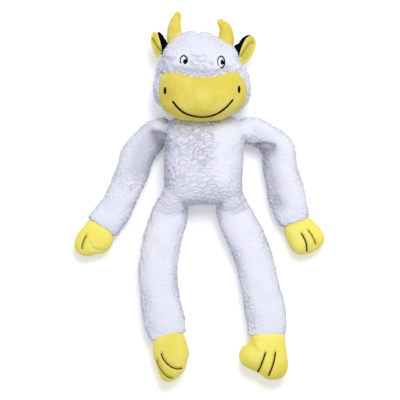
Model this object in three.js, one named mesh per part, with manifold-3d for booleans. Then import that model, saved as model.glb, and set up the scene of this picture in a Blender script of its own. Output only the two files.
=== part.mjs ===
// A stuffed toy cow, lying on its back: fleece covers over fibre filling, yellow plush muzzle, horns,
// hands and feet, black embroidery. Millimetres, +Z up. The floor is z = 0, the head lies towards +Y,
// and +X is the cow's left side.
import * as THREE from "three";
import { mergeVertices } from "three/addons/utils/BufferGeometryUtils.js";
import Module from "manifold-3d";

// Driving sizes: lengths and depths of the toy.
const toyHeight = 500;
const torsoDepth = 72;
const headDepth = 86;
const muzzleDepth = 105;
const armDepth = 36;
const legDepth = 40;
const handDepth = 36;
const footDepth = 44;
const hornRadii = [5, 8, 10, 12];
const hornHeights = [42, 42, 41, 40];
const earBottom = 36;
const earTop = 44;
const earLining = 3;

// Cloth and thread.
const fleeceWall = 2.4;
const plushWall = 1.8;
const threadHeight = 1;
const pupilThreadHeight = 0.8;

// Clearances.
const seatGap = 0.3;
const fillingGap = 0.4;
const swingGap = 0.5;
const ballGap = 0.9;
const cupGap = 0.8;
const floorPress = 0.5;
const overrun = 12;
const nestGap = 1.4;
const upperEndRoom = 6;
const muzzleLap = 7.2;

// Heights of the sewn edges above the floor, each the middle of its piece's lower half.
const torsoSeam = 22;
const headSeam = 40;
const muzzleSeam = 61;
const armSeam = armDepth / 2 - floorPress;
const legSeam = legDepth / 2 - floorPress;
const handSeam = handDepth / 2 - floorPress;
const footSeam = footDepth / 2 - floorPress;
const muzzleBack = 30;

// Joints.
const shoulderRadius = 17;
const hipRadius = 9;
const hipHeight = 20;
const neckHeight = 30;
const jointRanges = {
  neck: [0, 20],
  ear: [0, 60],
  shoulder: [0, 150],
  elbow: [-5, 45],
  wrist: [-15, 15],
  hip: [0, 90],
  knee: [0, 60],
  ankle: [0, 35],
};

// Fineness of the surfaces.
const limbSides = 10;
const capSteps = 4;
const ballSides = 10;
const cupSides = 20;
const flatShare = Math.cos(Math.PI / limbSides);

// Ball ends of the hands and feet: they turn inside the open ends of the sleeves.
const wristRadius = (armDepth / 2 - fleeceWall) * flatShare - seatGap;
const ankleRadius = (legDepth / 2 - fleeceWall) * flatShare + seatGap / 2;
const hornSides = 10;
const earSides = 12;
const threadSegments = 5;
const torsoSides = 22;
const headSides = 20;
const muzzleSides = 18;
const handSides = 13;
const footSides = 14;

// Stops at which a joint's sweep is cut out of the piece that it turns in.
const neckSteps = 1;
const elbowSteps = 2;
const wristSteps = 2;
const hipSteps = 4;
const kneeSteps = 2;
const ankleSteps = 2;
const ribbonSteps = 6;

// The photograph looks straight down on the toy: places along it are pixels of that view.
const hornTipRow = 12;
const soleRow = 382;
const middleColumn = 199.75;
const middleRow = 197;
const pixel = toyHeight / (soleRow - hornTipRow);

const across = (column) => (column - middleColumn) * pixel;
const along = (row) => (middleRow - row) * pixel;
const spot = ([column, row], height) => new THREE.Vector3(across(column), along(row), height);

// Outlines and paths, as pixels of the photograph: [column, row], and [column, row, half width].
const torsoPixels = [
  [204, 111.5], [186, 113], [176, 117], [167, 123], [162.5, 131], [164.5, 142], [165, 156], [164, 170],
  [164.5, 181], [166, 191], [170, 201], [180, 206.5], [191, 208.5], [204, 208.5], [217, 208.5], [228, 206.5],
  [238, 201], [241.5, 190], [241, 178], [243, 165], [243, 153], [245, 141], [246, 131], [241, 123],
  [232, 117], [222, 113],
];
const headPixels = [
  [200, 31], [190, 31.5], [181, 33.5], [174, 38], [168, 46], [163, 54], [158, 63], [156, 76], [154, 89],
  [157, 101], [166, 110], [180, 115], [201, 116.5], [222, 115], [236, 111], [245, 102], [247.5, 90],
  [245.5, 77], [241, 63], [233, 49], [225, 42], [216, 37], [208, 33],
];
const muzzlePixels = [
  [202, 73], [184, 71.5], [168, 69], [160.5, 77], [158, 88], [158, 97], [161, 108], [173, 118], [188, 122],
  [205, 123], [221, 121.5], [236, 114], [245, 105], [248.5, 92], [243, 77], [235, 68.5], [220, 72],
];
const rightEarBackPixels = [
  [160, 32.5], [155, 32.5], [151.5, 37.5], [151, 44], [153, 51], [157, 58], [161, 55.5], [164, 52.5],
  [168, 49], [169.5, 43], [166, 38], [163.5, 35],
];
const rightEarLiningPixels = [
  [154.5, 33.5], [151.8, 38], [151.5, 44], [153.3, 50.5], [157, 57], [160.5, 54.5], [161.5, 49.5],
  [159.7, 42], [157.6, 36],
];
const leftEarBackPixels = [
  [247, 36], [252, 36.5], [255.5, 41], [256, 47], [254, 53.5], [250, 59.5], [243.5, 64], [239.5, 59],
  [235.5, 53], [233, 47], [236, 43], [241, 38.5],
];
const leftEarLiningPixels = [
  [250.5, 37.5], [254.3, 41.5], [255.5, 47], [253, 53], [249, 59], [243.5, 63], [241.5, 58.5], [241, 53],
  [243, 46], [246.5, 40],
];
const rightHandPixels = [
  [97, 223], [90, 222], [83.5, 226.5], [77.5, 234], [74.5, 242], [75.5, 249.5], [81, 255], [90, 256.5],
  [97, 254], [104, 253], [110, 248.5], [113.3, 241], [113.5, 234], [109.5, 229], [104, 226],
];
const leftHandPixels = [
  [291, 223], [299, 221.5], [308, 221], [315, 224], [321.5, 230.5], [325, 238], [322.5, 245], [315.5, 250.5],
  [308, 254], [300, 255], [294, 252.5], [289.5, 246], [286.5, 239], [284, 231], [286, 225.5],
];
const rightFootPixels = [
  [168, 332], [160, 336], [154.5, 342.5], [153.5, 353], [155.5, 363], [158.5, 372], [162, 379], [168, 382],
  [174, 380], [180.5, 375], [185, 369.5], [187, 361.5], [189.3, 354], [187, 343.5], [182, 335.5], [175, 332],
];
const leftFootPixels = [
  [267, 334.5], [258, 335], [250.5, 338.5], [244.5, 344.5], [240, 350], [239.7, 358], [243, 366],
  [250, 369.7], [258, 373], [264, 377.5], [271, 380], [279, 379], [285, 374.5], [288, 366],
  [287.3, 356], [286, 346], [283.5, 338], [276, 335],
];
const middlePixels = {
  torso: [204, 165],
  head: [201, 68],
  muzzle: [203, 97],
  rightEar: [158.5, 44.5],
  leftEar: [246.5, 49],
  rightHand: [95, 240],
  leftHand: [304, 238],
  rightFoot: [171, 357],
  leftFoot: [265, 356],
};
const rightUpperArmPixels = [[162, 131, 12.6], [153.5, 133, 14.2], [145, 141.3, 14.8], [140, 154, 16]];
const rightForearmPixels = [[140, 154, 14.9], [130, 178, 15.2], [116.5, 204, 15.8], [101.5, 226.5, 16.2]];
const leftUpperArmPixels = [[247, 131, 12.6], [256, 131.5, 14.3], [266, 137, 14.6], [273.5, 146, 15.4]];
const leftForearmPixels = [[273.5, 146, 14.3], [281, 171, 17.2], [287, 197, 17.8], [295.5, 222.5, 14.8]];
const rightThighPixels = [[175.5, 204, 14], [168.5, 220, 17.6], [162, 245, 18.8], [158.3, 270, 19.2]];
const rightShinPixels = [[158.3, 270, 18.1], [159.5, 293, 18.8], [163.5, 316, 19.4], [166, 337, 18]];
const leftThighPixels = [[230.5, 204, 14.5], [239.5, 222, 18], [249.5, 246, 18.8], [257, 270, 19]];
const leftShinPixels = [[257, 270, 17.9], [262.5, 293, 18.6], [267, 316, 19], [267.3, 336.5, 17.8]];
const rightHornPixels = [[177.5, 15.8], [174.8, 24], [174.6, 33], [176.5, 44]];
const leftHornPixels = [[220.5, 22.5], [224.8, 28], [226.3, 36], [225, 46]];
const pivotPixels = {
  neck: [204, 114],
  rightEar: [168, 46],
  leftEar: [235, 50],
};
const eyePixels = {
  right: { middle: [184.2, 60], halfWidth: 3.9, halfHeight: 5.2, pupil: [185.4, 61.3] },
  left: { middle: [222, 62], halfWidth: 3.9, halfHeight: 6, pupil: [222.4, 61.7] },
};
const eyeLinePixels = 1.3;
const pupilPixels = { halfWidth: 2, halfHeight: 2.5 };
const nostrilPixels = { right: [165.3, 91], left: [239, 90.5], halfWidth: 1, halfHeight: 3.8 };
const mouthLinePixels = 1.3;
const mouthPixels = [
  [172.5, 101.5], [178, 108], [184, 113], [191, 115.7], [198, 117], [205, 117.2], [212, 116], [218, 113.5],
  [224, 109.5], [229, 104.5], [233, 99.7],
];
const fingerLinePixels = 0.9;
const rightFingerPixels = [[[86, 234], [84, 239], [82, 244], [82, 249]]];
const leftFingerPixels = [
  [[301, 233], [304, 238], [306, 244], [307, 250]],
  [[308, 230], [312, 236], [315, 242], [316, 246]],
];
const rightToePixels = [
  [[161, 351], [163, 357], [167, 362], [172, 366], [177, 368.5], [182, 368.5]],
  [[157.5, 358], [160, 366], [164, 373], [169, 377]],
];
const leftToePixels = [
  [[266, 349], [264, 355], [261, 363], [258, 370]],
  [[275.5, 352], [274, 361], [271, 370], [268.5, 376]],
];

// Shares that shape the forms: how full a stuffed section is, and how far apart the rings lie.
const sectionShare = 1;
const bodyShares = { torso: 0.82, head: 0.84, muzzle: 0.86, hand: 0.86, foot: 0.86, ear: 0.7 };
const latitudeShares = [0.2, 0.5, 0.8];
const limbRingShares = [0, 0.3, 0.6];
const fillingEndShare = 1.2;
const hipDepthShare = 0.46;
const openingShare = 0.5;

const wasm = await Module();
wasm.setup();

// Solids: closed three.js geometries joined and cut.
function solidOf(geometry) {
  const bare = geometry.clone();
  bare.deleteAttribute("normal");
  bare.deleteAttribute("uv");
  const merged = mergeVertices(bare);
  return new wasm.Manifold(new wasm.Mesh({
    numProp: 3,
    vertProperties: merged.attributes.position.array,
    triVerts: new Uint32Array(merged.index.array),
  }));
}

function geometryOf(solid) {
  const mesh = solid.getMesh();
  const geometry = new THREE.BufferGeometry();
  geometry.setAttribute("position", new THREE.BufferAttribute(mesh.vertProperties, mesh.numProp));
  geometry.setIndex(new THREE.BufferAttribute(mesh.triVerts, 1));
  geometry.computeVertexNormals();
  return geometry;
}

// A closed skin over rings of points, with a point at each end.
function skin(rings, first, last) {
  const count = rings[0].length;
  const points = [first, ...rings.flat(), last];
  const faces = [];
  const at = (ring, side) => 1 + ring * count + (side % count);
  for (let side = 0; side < count; side++) {
    faces.push(0, at(0, side + 1), at(0, side));
    for (let ring = 0; ring < rings.length - 1; ring++) {
      faces.push(at(ring, side), at(ring, side + 1), at(ring + 1, side + 1));
      faces.push(at(ring, side), at(ring + 1, side + 1), at(ring + 1, side));
    }
    faces.push(at(rings.length - 1, side), at(rings.length - 1, side + 1), points.length - 1);
  }
  const geometry = new THREE.BufferGeometry().setFromPoints(points);
  geometry.setIndex(faces);
  return geometry;
}

const bulge = (value, share) => Math.sign(value) * Math.abs(value) ** share;

// A stuffed form lying on the floor: its outline shrinks towards a crown above and a back below.
function pillow({ outline, middle, seam, crown, back, share, sides }, grow = 0) {
  const corners = outline.map((pair) => spot(pair, seam));
  if (THREE.ShapeUtils.area(corners) < 0) corners.reverse();
  const curve = new THREE.CatmullRomCurve3(corners, true);
  const centre = spot(middle, seam);
  const edge = [];
  for (let side = 0; side < sides; side++) {
    const tangent = curve.getTangent(side / sides);
    const outwards = new THREE.Vector3(tangent.y, -tangent.x, 0);
    edge.push(curve.getPoint(side / sides).addScaledVector(outwards, grow));
  }
  const levels = [...latitudeShares.map((value) => -value).reverse(), 0, ...latitudeShares];
  levels.sort((low, high) => low - high);
  const rings = levels.map((level) => {
    const angle = (level * Math.PI) / 2;
    const height = (level < 0 ? back : crown) + grow;
    const reach = Math.cos(angle) ** share;
    return edge.map((point) => {
      const moved = centre.clone().lerp(point, reach);
      moved.z = seam + bulge(Math.sin(angle), share) * height;
      return moved;
    });
  });
  return skin(rings, spot(middle, seam - back - grow), spot(middle, seam + crown + grow));
}

// A stuffed tube along a path: each ring has a half width in the plane and a half depth above it.
function sleeve({ path, heights, depths, startCap, endRoom, endCap, sides = limbSides }, grow = 0) {
  const curve = new THREE.CatmullRomCurve3(path.map((pair, index) => spot(pair, heights[index])));
  const between = (values, share) => {
    const place = share * (values.length - 1);
    const index = Math.min(Math.floor(place), values.length - 2);
    return THREE.MathUtils.lerp(values[index], values[index + 1], place - index);
  };
  const widths = path.map((pair) => pair[2] * pixel);
  const ringAt = (share, shift, scale) => {
    const tangent = curve.getTangentAt(share);
    const sideways = new THREE.Vector3(-tangent.y, tangent.x, 0).normalize();
    const upwards = new THREE.Vector3().crossVectors(sideways, tangent).negate();
    if (upwards.z < 0) upwards.negate();
    const centre = curve.getPointAt(share).addScaledVector(tangent, shift);
    const width = (between(widths, share) + grow) * scale;
    const depth = (between(depths, share) + grow) * scale;
    const ring = [];
    for (let side = 0; side < sides; side++) {
      const angle = ((side + 0.5) * 2 * Math.PI) / sides;
      ring.push(centre.clone()
        .addScaledVector(sideways, width * bulge(Math.cos(angle), sectionShare))
        .addScaledVector(upwards, depth * bulge(Math.sin(angle), sectionShare)));
    }
    return ring;
  };
  const rings = [];
  for (let step = capSteps - 1; step > 0; step--) {
    const angle = (step / capSteps) * (Math.PI / 2);
    rings.push(ringAt(0, -(startCap + grow) * Math.sin(angle), Math.cos(angle)));
  }
  const endShare = 1 - endRoom / curve.getLength();
  for (const share of [...limbRingShares, endShare]) rings.push(ringAt(share, 0, 1));
  if (endCap > 0) rings.push(ringAt(endShare, endCap, 1));
  const startTangent = curve.getTangentAt(0);
  const first = curve.getPointAt(0).addScaledVector(startTangent, -(startCap + grow));
  const last = curve.getPointAt(endShare).addScaledVector(curve.getTangentAt(endShare), endCap);
  return skin(rings, first, last);
}

function ball([column, row], height, radius, sides = ballSides) {
  return new THREE.SphereGeometry(radius, sides, sides / 2).translate(across(column), along(row), height);
}

function block(low, high) {
  const size = high.clone().sub(low);
  const middle = low.clone().add(high).multiplyScalar(0.5);
  return new THREE.BoxGeometry(size.x, size.y, size.z).translate(middle.x, middle.y, middle.z);
}

const underFloor = solidOf(block(
  new THREE.Vector3(-toyHeight, -toyHeight, -torsoDepth),
  new THREE.Vector3(toyHeight, toyHeight, 0),
));

// The same geometry, turned about an axis through a pivot.
function turned(geometry, pivot, axis, degrees) {
  const angle = THREE.MathUtils.degToRad(degrees);
  return geometry.clone()
    .translate(-pivot.x, -pivot.y, -pivot.z)
    .applyMatrix4(new THREE.Matrix4().makeRotationAxis(axis, angle))
    .translate(pivot.x, pivot.y, pivot.z);
}

// The room that a hinged piece needs: its body at stops over its range.
function swept(forms, pivot, axis, [low, high], stops) {
  const placed = [];
  for (let stop = 0; stop <= stops; stop++) {
    const degrees = THREE.MathUtils.lerp(low, high, stop / stops);
    for (const form of forms) placed.push(solidOf(turned(form(swingGap), pivot, axis, degrees)));
  }
  return placed.reduce((room, solid) => room.add(solid));
}

// Colours and finishes.
const finish = (color, roughness) => new THREE.MeshStandardMaterial({ color, roughness, metalness: 0 });
const fleece = finish(0xe6e8f2, 0.95);
const plush = finish(0xf2e66e, 0.9);
const velour = finish(0x17171b, 0.95);
const thread = finish(0x101012, 0.7);
const whiteThread = finish(0xf4f4f4, 0.7);
const fibre = finish(0xf7f7f5, 1);

const cow = new THREE.Group();
function piece(name, solid, material) {
  const mesh = new THREE.Mesh(geometryOf(solid), material);
  mesh.name = name;
  cow.add(mesh);
}

// Every stuffed body is a cover with a hollow, and a filling that lies in it.
const grown = (form, grow) => solidOf(form(grow));
const shell = (form, wall) => grown(form, 0).subtract(grown(form, -wall)).subtract(underFloor);
const filling = (form, wall) => grown(form, -wall - fillingGap);

// Forms.
const torsoForm = (grow) => pillow({
  outline: torsoPixels,
  middle: middlePixels.torso,
  seam: torsoSeam,
  crown: torsoDepth - torsoSeam,
  back: torsoSeam + floorPress,
  share: bodyShares.torso,
  sides: torsoSides,
}, grow);
const headForm = (grow) => pillow({
  outline: headPixels,
  middle: middlePixels.head,
  seam: headSeam,
  crown: headDepth - headSeam,
  back: headSeam + floorPress,
  share: bodyShares.head,
  sides: headSides,
}, grow);
const muzzleForm = (grow) => pillow({
  outline: muzzlePixels,
  middle: middlePixels.muzzle,
  seam: muzzleSeam,
  crown: muzzleDepth - muzzleSeam,
  back: muzzleBack,
  share: bodyShares.muzzle,
  sides: muzzleSides,
}, grow);

const limbForm = (path, heights, depths, startCap, endRoom) => (grow, endCap = 0) => sleeve({
  path, heights, depths, startCap, endRoom, endCap,
}, grow);
const handForm = (side) => (grow) => pillow({
  outline: side.handPixels,
  middle: side.handMiddle,
  seam: handSeam,
  crown: handDepth / 2,
  back: handDepth / 2,
  share: bodyShares.hand,
  sides: handSides,
}, grow);
const footForm = (side) => (grow) => pillow({
  outline: side.footPixels,
  middle: side.footMiddle,
  seam: footSeam,
  crown: footDepth / 2,
  back: footDepth / 2,
  share: bodyShares.foot,
  sides: footSides,
}, grow);

const lastOf = (list) => list[list.length - 1];
const sides = [
  {
    name: "right",
    outward: -1,
    upperArmPixels: rightUpperArmPixels,
    forearmPixels: rightForearmPixels,
    handPixels: rightHandPixels,
    handMiddle: middlePixels.rightHand,
    fingerPixels: rightFingerPixels,
    thighPixels: rightThighPixels,
    shinPixels: rightShinPixels,
    footPixels: rightFootPixels,
    footMiddle: middlePixels.rightFoot,
    toePixels: rightToePixels,
    hornPixels: rightHornPixels,
    earBackPixels: rightEarBackPixels,
    earLiningPixels: rightEarLiningPixels,
    earMiddle: middlePixels.rightEar,
    earPivot: pivotPixels.rightEar,
    eye: eyePixels.right,
    nostril: nostrilPixels.right,
  },
  {
    name: "left",
    outward: 1,
    upperArmPixels: leftUpperArmPixels,
    forearmPixels: leftForearmPixels,
    handPixels: leftHandPixels,
    handMiddle: middlePixels.leftHand,
    fingerPixels: leftFingerPixels,
    thighPixels: leftThighPixels,
    shinPixels: leftShinPixels,
    footPixels: leftFootPixels,
    footMiddle: middlePixels.leftFoot,
    toePixels: leftToePixels,
    hornPixels: leftHornPixels,
    earBackPixels: leftEarBackPixels,
    earLiningPixels: leftEarLiningPixels,
    earMiddle: middlePixels.leftEar,
    earPivot: pivotPixels.leftEar,
    eye: eyePixels.left,
    nostril: nostrilPixels.left,
  },
];

const sideways = new THREE.Vector3(-1, 0, 0);
const forwards = new THREE.Vector3(1, 0, 0);
const upright = new THREE.Vector3(0, 0, 1);
const towardsHead = new THREE.Vector3(0, 1, 0);

// Arms, legs, hands and feet, from the tips inwards: each piece makes room for the next one out.
const torsoRooms = [];
for (const side of sides) {
  const armDepths = [shoulderRadius, armDepth / 2, armDepth / 2, armDepth / 2];
  const armHeights = [torsoSeam, (torsoSeam + armSeam) / 2, armSeam, armSeam];
  const even = (value) => [value, value, value, value];
  const nested = (depth) => [depth - nestGap, depth, depth, depth];
  const legDepths = [hipRadius, legDepth * hipDepthShare, legDepth / 2, legDepth / 2];
  const legHeights = [hipHeight, legSeam, legSeam, legSeam];
  const elbowCap = side.forearmPixels[0][2] * pixel;
  const upperArm = limbForm(side.upperArmPixels, armHeights, armDepths, shoulderRadius, upperEndRoom);
  const forearm = limbForm(side.forearmPixels, even(armSeam), nested(armDepth / 2), elbowCap, 0);
  const thigh = limbForm(side.thighPixels, legHeights, legDepths, hipRadius, upperEndRoom);
  const shin = limbForm(side.shinPixels, even(legSeam), nested(legDepth / 2), legDepth / 2 - nestGap, 0);
  const hand = handForm(side);
  const foot = footForm(side);
  const wrist = lastOf(side.forearmPixels);
  const ankle = lastOf(side.shinPixels);
  const wristBall = (grow) => ball(wrist, armSeam, wristRadius + grow);
  const ankleBall = (grow) => ball(ankle, legSeam, ankleRadius + grow);
  const bend = upright.clone().multiplyScalar(side.outward);

  const ranges = jointRanges;
  const wristRoom = swept([hand], spot(wrist, armSeam), bend, ranges.wrist, wristSteps);
  const ankleRoom = swept([foot], spot(ankle, legSeam), sideways, ranges.ankle, ankleSteps);
  const elbow = spot(side.forearmPixels[0], armSeam);
  const knee = spot(side.shinPixels[0], legSeam);
  const hip = spot(side.thighPixels[0], hipHeight);
  const elbowRoom = swept([forearm], elbow, bend, ranges.elbow, elbowSteps).add(solidOf(forearm(ballGap)));
  const kneeRoom = swept([shin], knee, sideways, ranges.knee, kneeSteps).add(solidOf(shin(ballGap)));
  const hipRoom = swept([thigh], hip, sideways, ranges.hip, hipSteps).add(solidOf(thigh(ballGap)));
  const shoulderCup = ball(side.upperArmPixels[0], torsoSeam, shoulderRadius + cupGap, cupSides);
  torsoRooms.push(solidOf(shoulderCup), solidOf(upperArm(swingGap)), hipRoom);

  const limb = (name, form, room, end, endHeight) => {
    const hollow = solidOf(form(-fleeceWall, overrun));
    const cover = solidOf(form(0)).subtract(hollow).subtract(underFloor).subtract(room);
    piece(`${side.name}_${name}_cover`, cover, fleece);
    const endBall = ball(end, endHeight, end[2] * pixel * fillingEndShare);
    const stuffing = filling(form, fleeceWall).subtract(solidOf(endBall));
    piece(`${side.name}_${name}_filling`, stuffing, fibre);
  };
  limb("upper_arm", upperArm, elbowRoom, lastOf(side.upperArmPixels), armSeam);
  limb("forearm", forearm, wristRoom, wrist, armSeam);
  limb("thigh", thigh, kneeRoom, lastOf(side.thighPixels), legSeam);
  limb("shin", shin, ankleRoom, ankle, legSeam);

  const mitt = (name, form, knob, place, height, radius, towards) => {
    const whole = (grow) => solidOf(form(grow)).add(solidOf(knob(grow)));
    const pole = spot(place, height).addScaledVector(towards, radius);
    const neck = new THREE.SphereGeometry(radius * openingShare, ballSides, ballSides / 2)
      .translate(...pole.toArray());
    const cover = whole(0).subtract(whole(-plushWall)).subtract(solidOf(neck)).subtract(underFloor);
    piece(`${side.name}_${name}_cover`, cover, plush);
    piece(`${side.name}_${name}_filling`, whole(-plushWall - fillingGap), fibre);
  };
  const inwards = (place, middle) => spot(place, 0).sub(spot(middle, 0)).normalize();
  mitt("hand", hand, wristBall, wrist, armSeam, wristRadius, inwards(wrist, side.handMiddle));
  mitt("foot", foot, ankleBall, ankle, legSeam, ankleRadius, inwards(ankle, side.footMiddle));
}

// Torso: two panels that meet at the side seam, round one filling.
const low = new THREE.Vector3(-toyHeight, -toyHeight, -torsoDepth);
const high = new THREE.Vector3(toyHeight, toyHeight, muzzleDepth);
const aboveSeam = solidOf(block(low.clone().setZ(torsoSeam - seatGap / 2), high));
const belowSeam = solidOf(block(low, high.clone().setZ(torsoSeam + seatGap / 2)));
const neckPivot = spot(pivotPixels.neck, neckHeight);
torsoRooms.push(swept([headForm, muzzleForm], neckPivot, forwards, jointRanges.neck, neckSteps));
const torsoCut = (solid) => torsoRooms.reduce((rest, room) => rest.subtract(room), solid);
const torsoShell = torsoCut(shell(torsoForm, fleeceWall));
piece("torso_front_cover", torsoShell.subtract(belowSeam), fleece);
piece("torso_back_cover", torsoShell.subtract(aboveSeam), fleece);
piece("torso_filling", torsoCut(filling(torsoForm, fleeceWall)), fibre);

// Head: a fleece cover with a hole behind the muzzle, which is sewn on over it.
const headSolid = solidOf(headForm(seatGap));
const muzzleHole = solidOf(muzzleForm(-muzzleLap));
piece("head_cover", shell(headForm, fleeceWall).subtract(muzzleHole), fleece);
piece("head_filling", filling(headForm, fleeceWall), fibre);
piece("muzzle_cover", shell(muzzleForm, plushWall).subtract(headSolid), plush);
piece("muzzle_filling", filling(muzzleForm, plushWall).subtract(headSolid), fibre);

// Horns: stuffed cones that bend a little, sewn to the top of the head.
const hornForm = (side) => (grow) => sleeve({
  path: side.hornPixels.map((pair, index) => [...pair, hornRadii[index] / pixel]),
  heights: hornHeights,
  depths: hornRadii,
  startCap: hornRadii[0],
  endRoom: 0,
  endCap: 0,
  sides: hornSides,
}, grow);
for (const side of sides) piece(`${side.name}_horn`, solidOf(hornForm(side)(0)).subtract(headSolid), plush);

// Ears: a black leaf of velour behind a yellow lining, hinged at the seam on the side of the head.
for (const side of sides) {
  const leaf = (outline, bottom, top) => (grow) => pillow({
    outline,
    middle: side.earMiddle,
    seam: (bottom + top) / 2,
    crown: (top - bottom) / 2,
    back: (top - bottom) / 2,
    share: bodyShares.ear,
    sides: earSides,
  }, grow);
  const back = leaf(side.earBackPixels, earBottom, earTop - earLining);
  const lining = leaf(side.earLiningPixels, earBottom + earLining, earTop);
  const pivot = spot(side.earPivot, earTop);
  const [restAngle, liftedAngle] = jointRanges.ear;
  const hornRoom = [restAngle, (restAngle + liftedAngle) / 2, liftedAngle]
    .map((degrees) => solidOf(turned(hornForm(side)(swingGap), pivot, towardsHead, degrees * side.outward)))
    .reduce((room, solid) => room.add(solid));
  const room = headSolid.add(hornRoom);
  piece(`${side.name}_ear_back`, solidOf(back(0)).subtract(room), velour);
  const liningSolid = solidOf(lining(0)).subtract(solidOf(back(seatGap)));
  piece(`${side.name}_ear_lining`, liningSolid.subtract(room), plush);
}

// Embroidery: thread that stands on the cloth, cut from a thin layer over the stuffed form.
function layer(form, base, height) {
  return solidOf(form(base + height)).subtract(solidOf(form(base)));
}

function stitched(form, seam, shape, base, height) {
  const prism = new THREE.ExtrudeGeometry(shape, {
    depth: toyHeight,
    bevelEnabled: false,
    curveSegments: threadSegments,
  });
  return layer(form, base, height).intersect(solidOf(prism.translate(0, 0, seam)));
}

const flat = ([column, row]) => new THREE.Vector2(across(column), along(row));

// A line of satin stitch: a ribbon of even width along its points.
function ribbon(pixels, width) {
  const curve = new THREE.SplineCurve(pixels.map(flat));
  const edges = [[], []];
  for (let step = 0; step <= ribbonSteps; step++) {
    const point = curve.getPoint(step / ribbonSteps);
    const tangent = curve.getTangent(step / ribbonSteps);
    const aside = new THREE.Vector2(-tangent.y, tangent.x).multiplyScalar(width / 2);
    edges[0].push(point.clone().add(aside));
    edges[1].unshift(point.clone().sub(aside));
  }
  return new THREE.Shape([...edges[0], ...edges[1]]);
}

function oval(middle, halfWidth, halfHeight) {
  const centre = flat(middle);
  const shape = new THREE.Shape();
  shape.absellipse(centre.x, centre.y, halfWidth * pixel, halfHeight * pixel, 0, Math.PI * 2);
  return shape;
}

for (const side of sides) {
  const { middle, halfWidth, halfHeight, pupil } = side.eye;
  const rim = oval(middle, halfWidth, halfHeight);
  const inner = [middle, halfWidth - eyeLinePixels, halfHeight - eyeLinePixels];
  rim.holes.push(oval(...inner));
  const seam = seatGap / pixel;
  const white = oval(middle, inner[1] - seam, inner[2] - seam);
  piece(`${side.name}_eye_outline`, stitched(headForm, headSeam, rim, seatGap, threadHeight), thread);
  piece(`${side.name}_eye_white`, stitched(headForm, headSeam, white, seatGap, threadHeight), whiteThread);
  const pupilBase = seatGap + threadHeight + seatGap;
  const pupilShape = oval(pupil, pupilPixels.halfWidth, pupilPixels.halfHeight);
  const pupilStitch = stitched(headForm, headSeam, pupilShape, pupilBase, pupilThreadHeight);
  piece(`${side.name}_eye_pupil`, pupilStitch, thread);
  const nostril = oval(side.nostril, nostrilPixels.halfWidth, nostrilPixels.halfHeight);
  piece(`${side.name}_nostril`, stitched(muzzleForm, muzzleSeam, nostril, seatGap, threadHeight), thread);
  const line = (form, seam, pixels) => (
    stitched(form, seam, ribbon(pixels, fingerLinePixels * pixel), seatGap, threadHeight)
  );
  for (const [index, pixels] of side.fingerPixels.entries())
    piece(`${side.name}_hand_stitch_${index + 1}`, line(handForm(side), handSeam, pixels), thread);
  for (const [index, pixels] of side.toePixels.entries())
    piece(`${side.name}_foot_stitch_${index + 1}`, line(footForm(side), footSeam, pixels), thread);
}
const mouth = ribbon(mouthPixels, mouthLinePixels * pixel);
piece("mouth_stitch", stitched(muzzleForm, muzzleSeam, mouth, seatGap, threadHeight), thread);

export default cow;
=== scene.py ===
# %% [markdown]
# # A stuffed cow of curly fleece and short plush
#
# The toy lies on its back on a white floor. Its solids come packed in a frame, and every piece made here is
# fabric that takes the place of such solids and hides them: it stays in the same space, and rides on its
# body where it has one. The frame could be measured again from the picture, but loading it keeps one set
# of places.

import bpy
import numpy as np
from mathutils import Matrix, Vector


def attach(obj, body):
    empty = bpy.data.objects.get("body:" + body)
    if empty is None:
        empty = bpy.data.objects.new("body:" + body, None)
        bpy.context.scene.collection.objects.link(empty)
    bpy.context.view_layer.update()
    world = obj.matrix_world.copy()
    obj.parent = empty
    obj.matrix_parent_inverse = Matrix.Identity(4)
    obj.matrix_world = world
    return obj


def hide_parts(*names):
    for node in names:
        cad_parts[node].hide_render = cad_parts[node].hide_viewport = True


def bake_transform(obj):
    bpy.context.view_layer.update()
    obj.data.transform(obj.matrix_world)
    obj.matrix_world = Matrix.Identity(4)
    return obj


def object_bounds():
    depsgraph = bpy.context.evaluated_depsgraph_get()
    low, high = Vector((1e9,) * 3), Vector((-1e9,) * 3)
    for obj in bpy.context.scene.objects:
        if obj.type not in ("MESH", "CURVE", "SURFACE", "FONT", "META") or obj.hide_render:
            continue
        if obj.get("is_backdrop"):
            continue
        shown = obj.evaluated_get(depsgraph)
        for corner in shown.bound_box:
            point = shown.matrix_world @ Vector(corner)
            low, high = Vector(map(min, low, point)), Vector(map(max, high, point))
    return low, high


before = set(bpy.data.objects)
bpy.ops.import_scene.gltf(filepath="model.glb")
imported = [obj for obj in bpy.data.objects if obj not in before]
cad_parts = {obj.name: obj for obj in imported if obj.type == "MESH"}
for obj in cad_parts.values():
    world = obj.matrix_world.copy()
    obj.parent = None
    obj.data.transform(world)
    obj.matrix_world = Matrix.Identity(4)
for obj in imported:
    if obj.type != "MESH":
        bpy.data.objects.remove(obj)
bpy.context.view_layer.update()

# %% [markdown]
# ## From pixels to metres
#
# The picture looks straight down, so a place on the toy is a column and a row of the picture and a height.
# Each outline could be typed in metres, but pixels can be checked against the picture by eye.

# %% Pixels and curves
TOY_HEIGHT = 0.5
TIP_ROW, SOLE_ROW = 12, 382
MIDDLE_COLUMN, MIDDLE_ROW = 199.75, 197
PIXEL = TOY_HEIGHT / (SOLE_ROW - TIP_ROW)
MM = 0.001
FINE_STEPS = 16


def place(pixels):
    """Metres from pixels: x grows with the column and y falls with the row."""
    pixels = np.asarray(pixels, float)
    columns, rows = pixels[..., 0], pixels[..., 1]
    return np.stack([(columns - MIDDLE_COLUMN) * PIXEL, (MIDDLE_ROW - rows) * PIXEL], -1)


def level(row):
    """The y of a row of the picture."""
    return place([0, row])[1]


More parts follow.
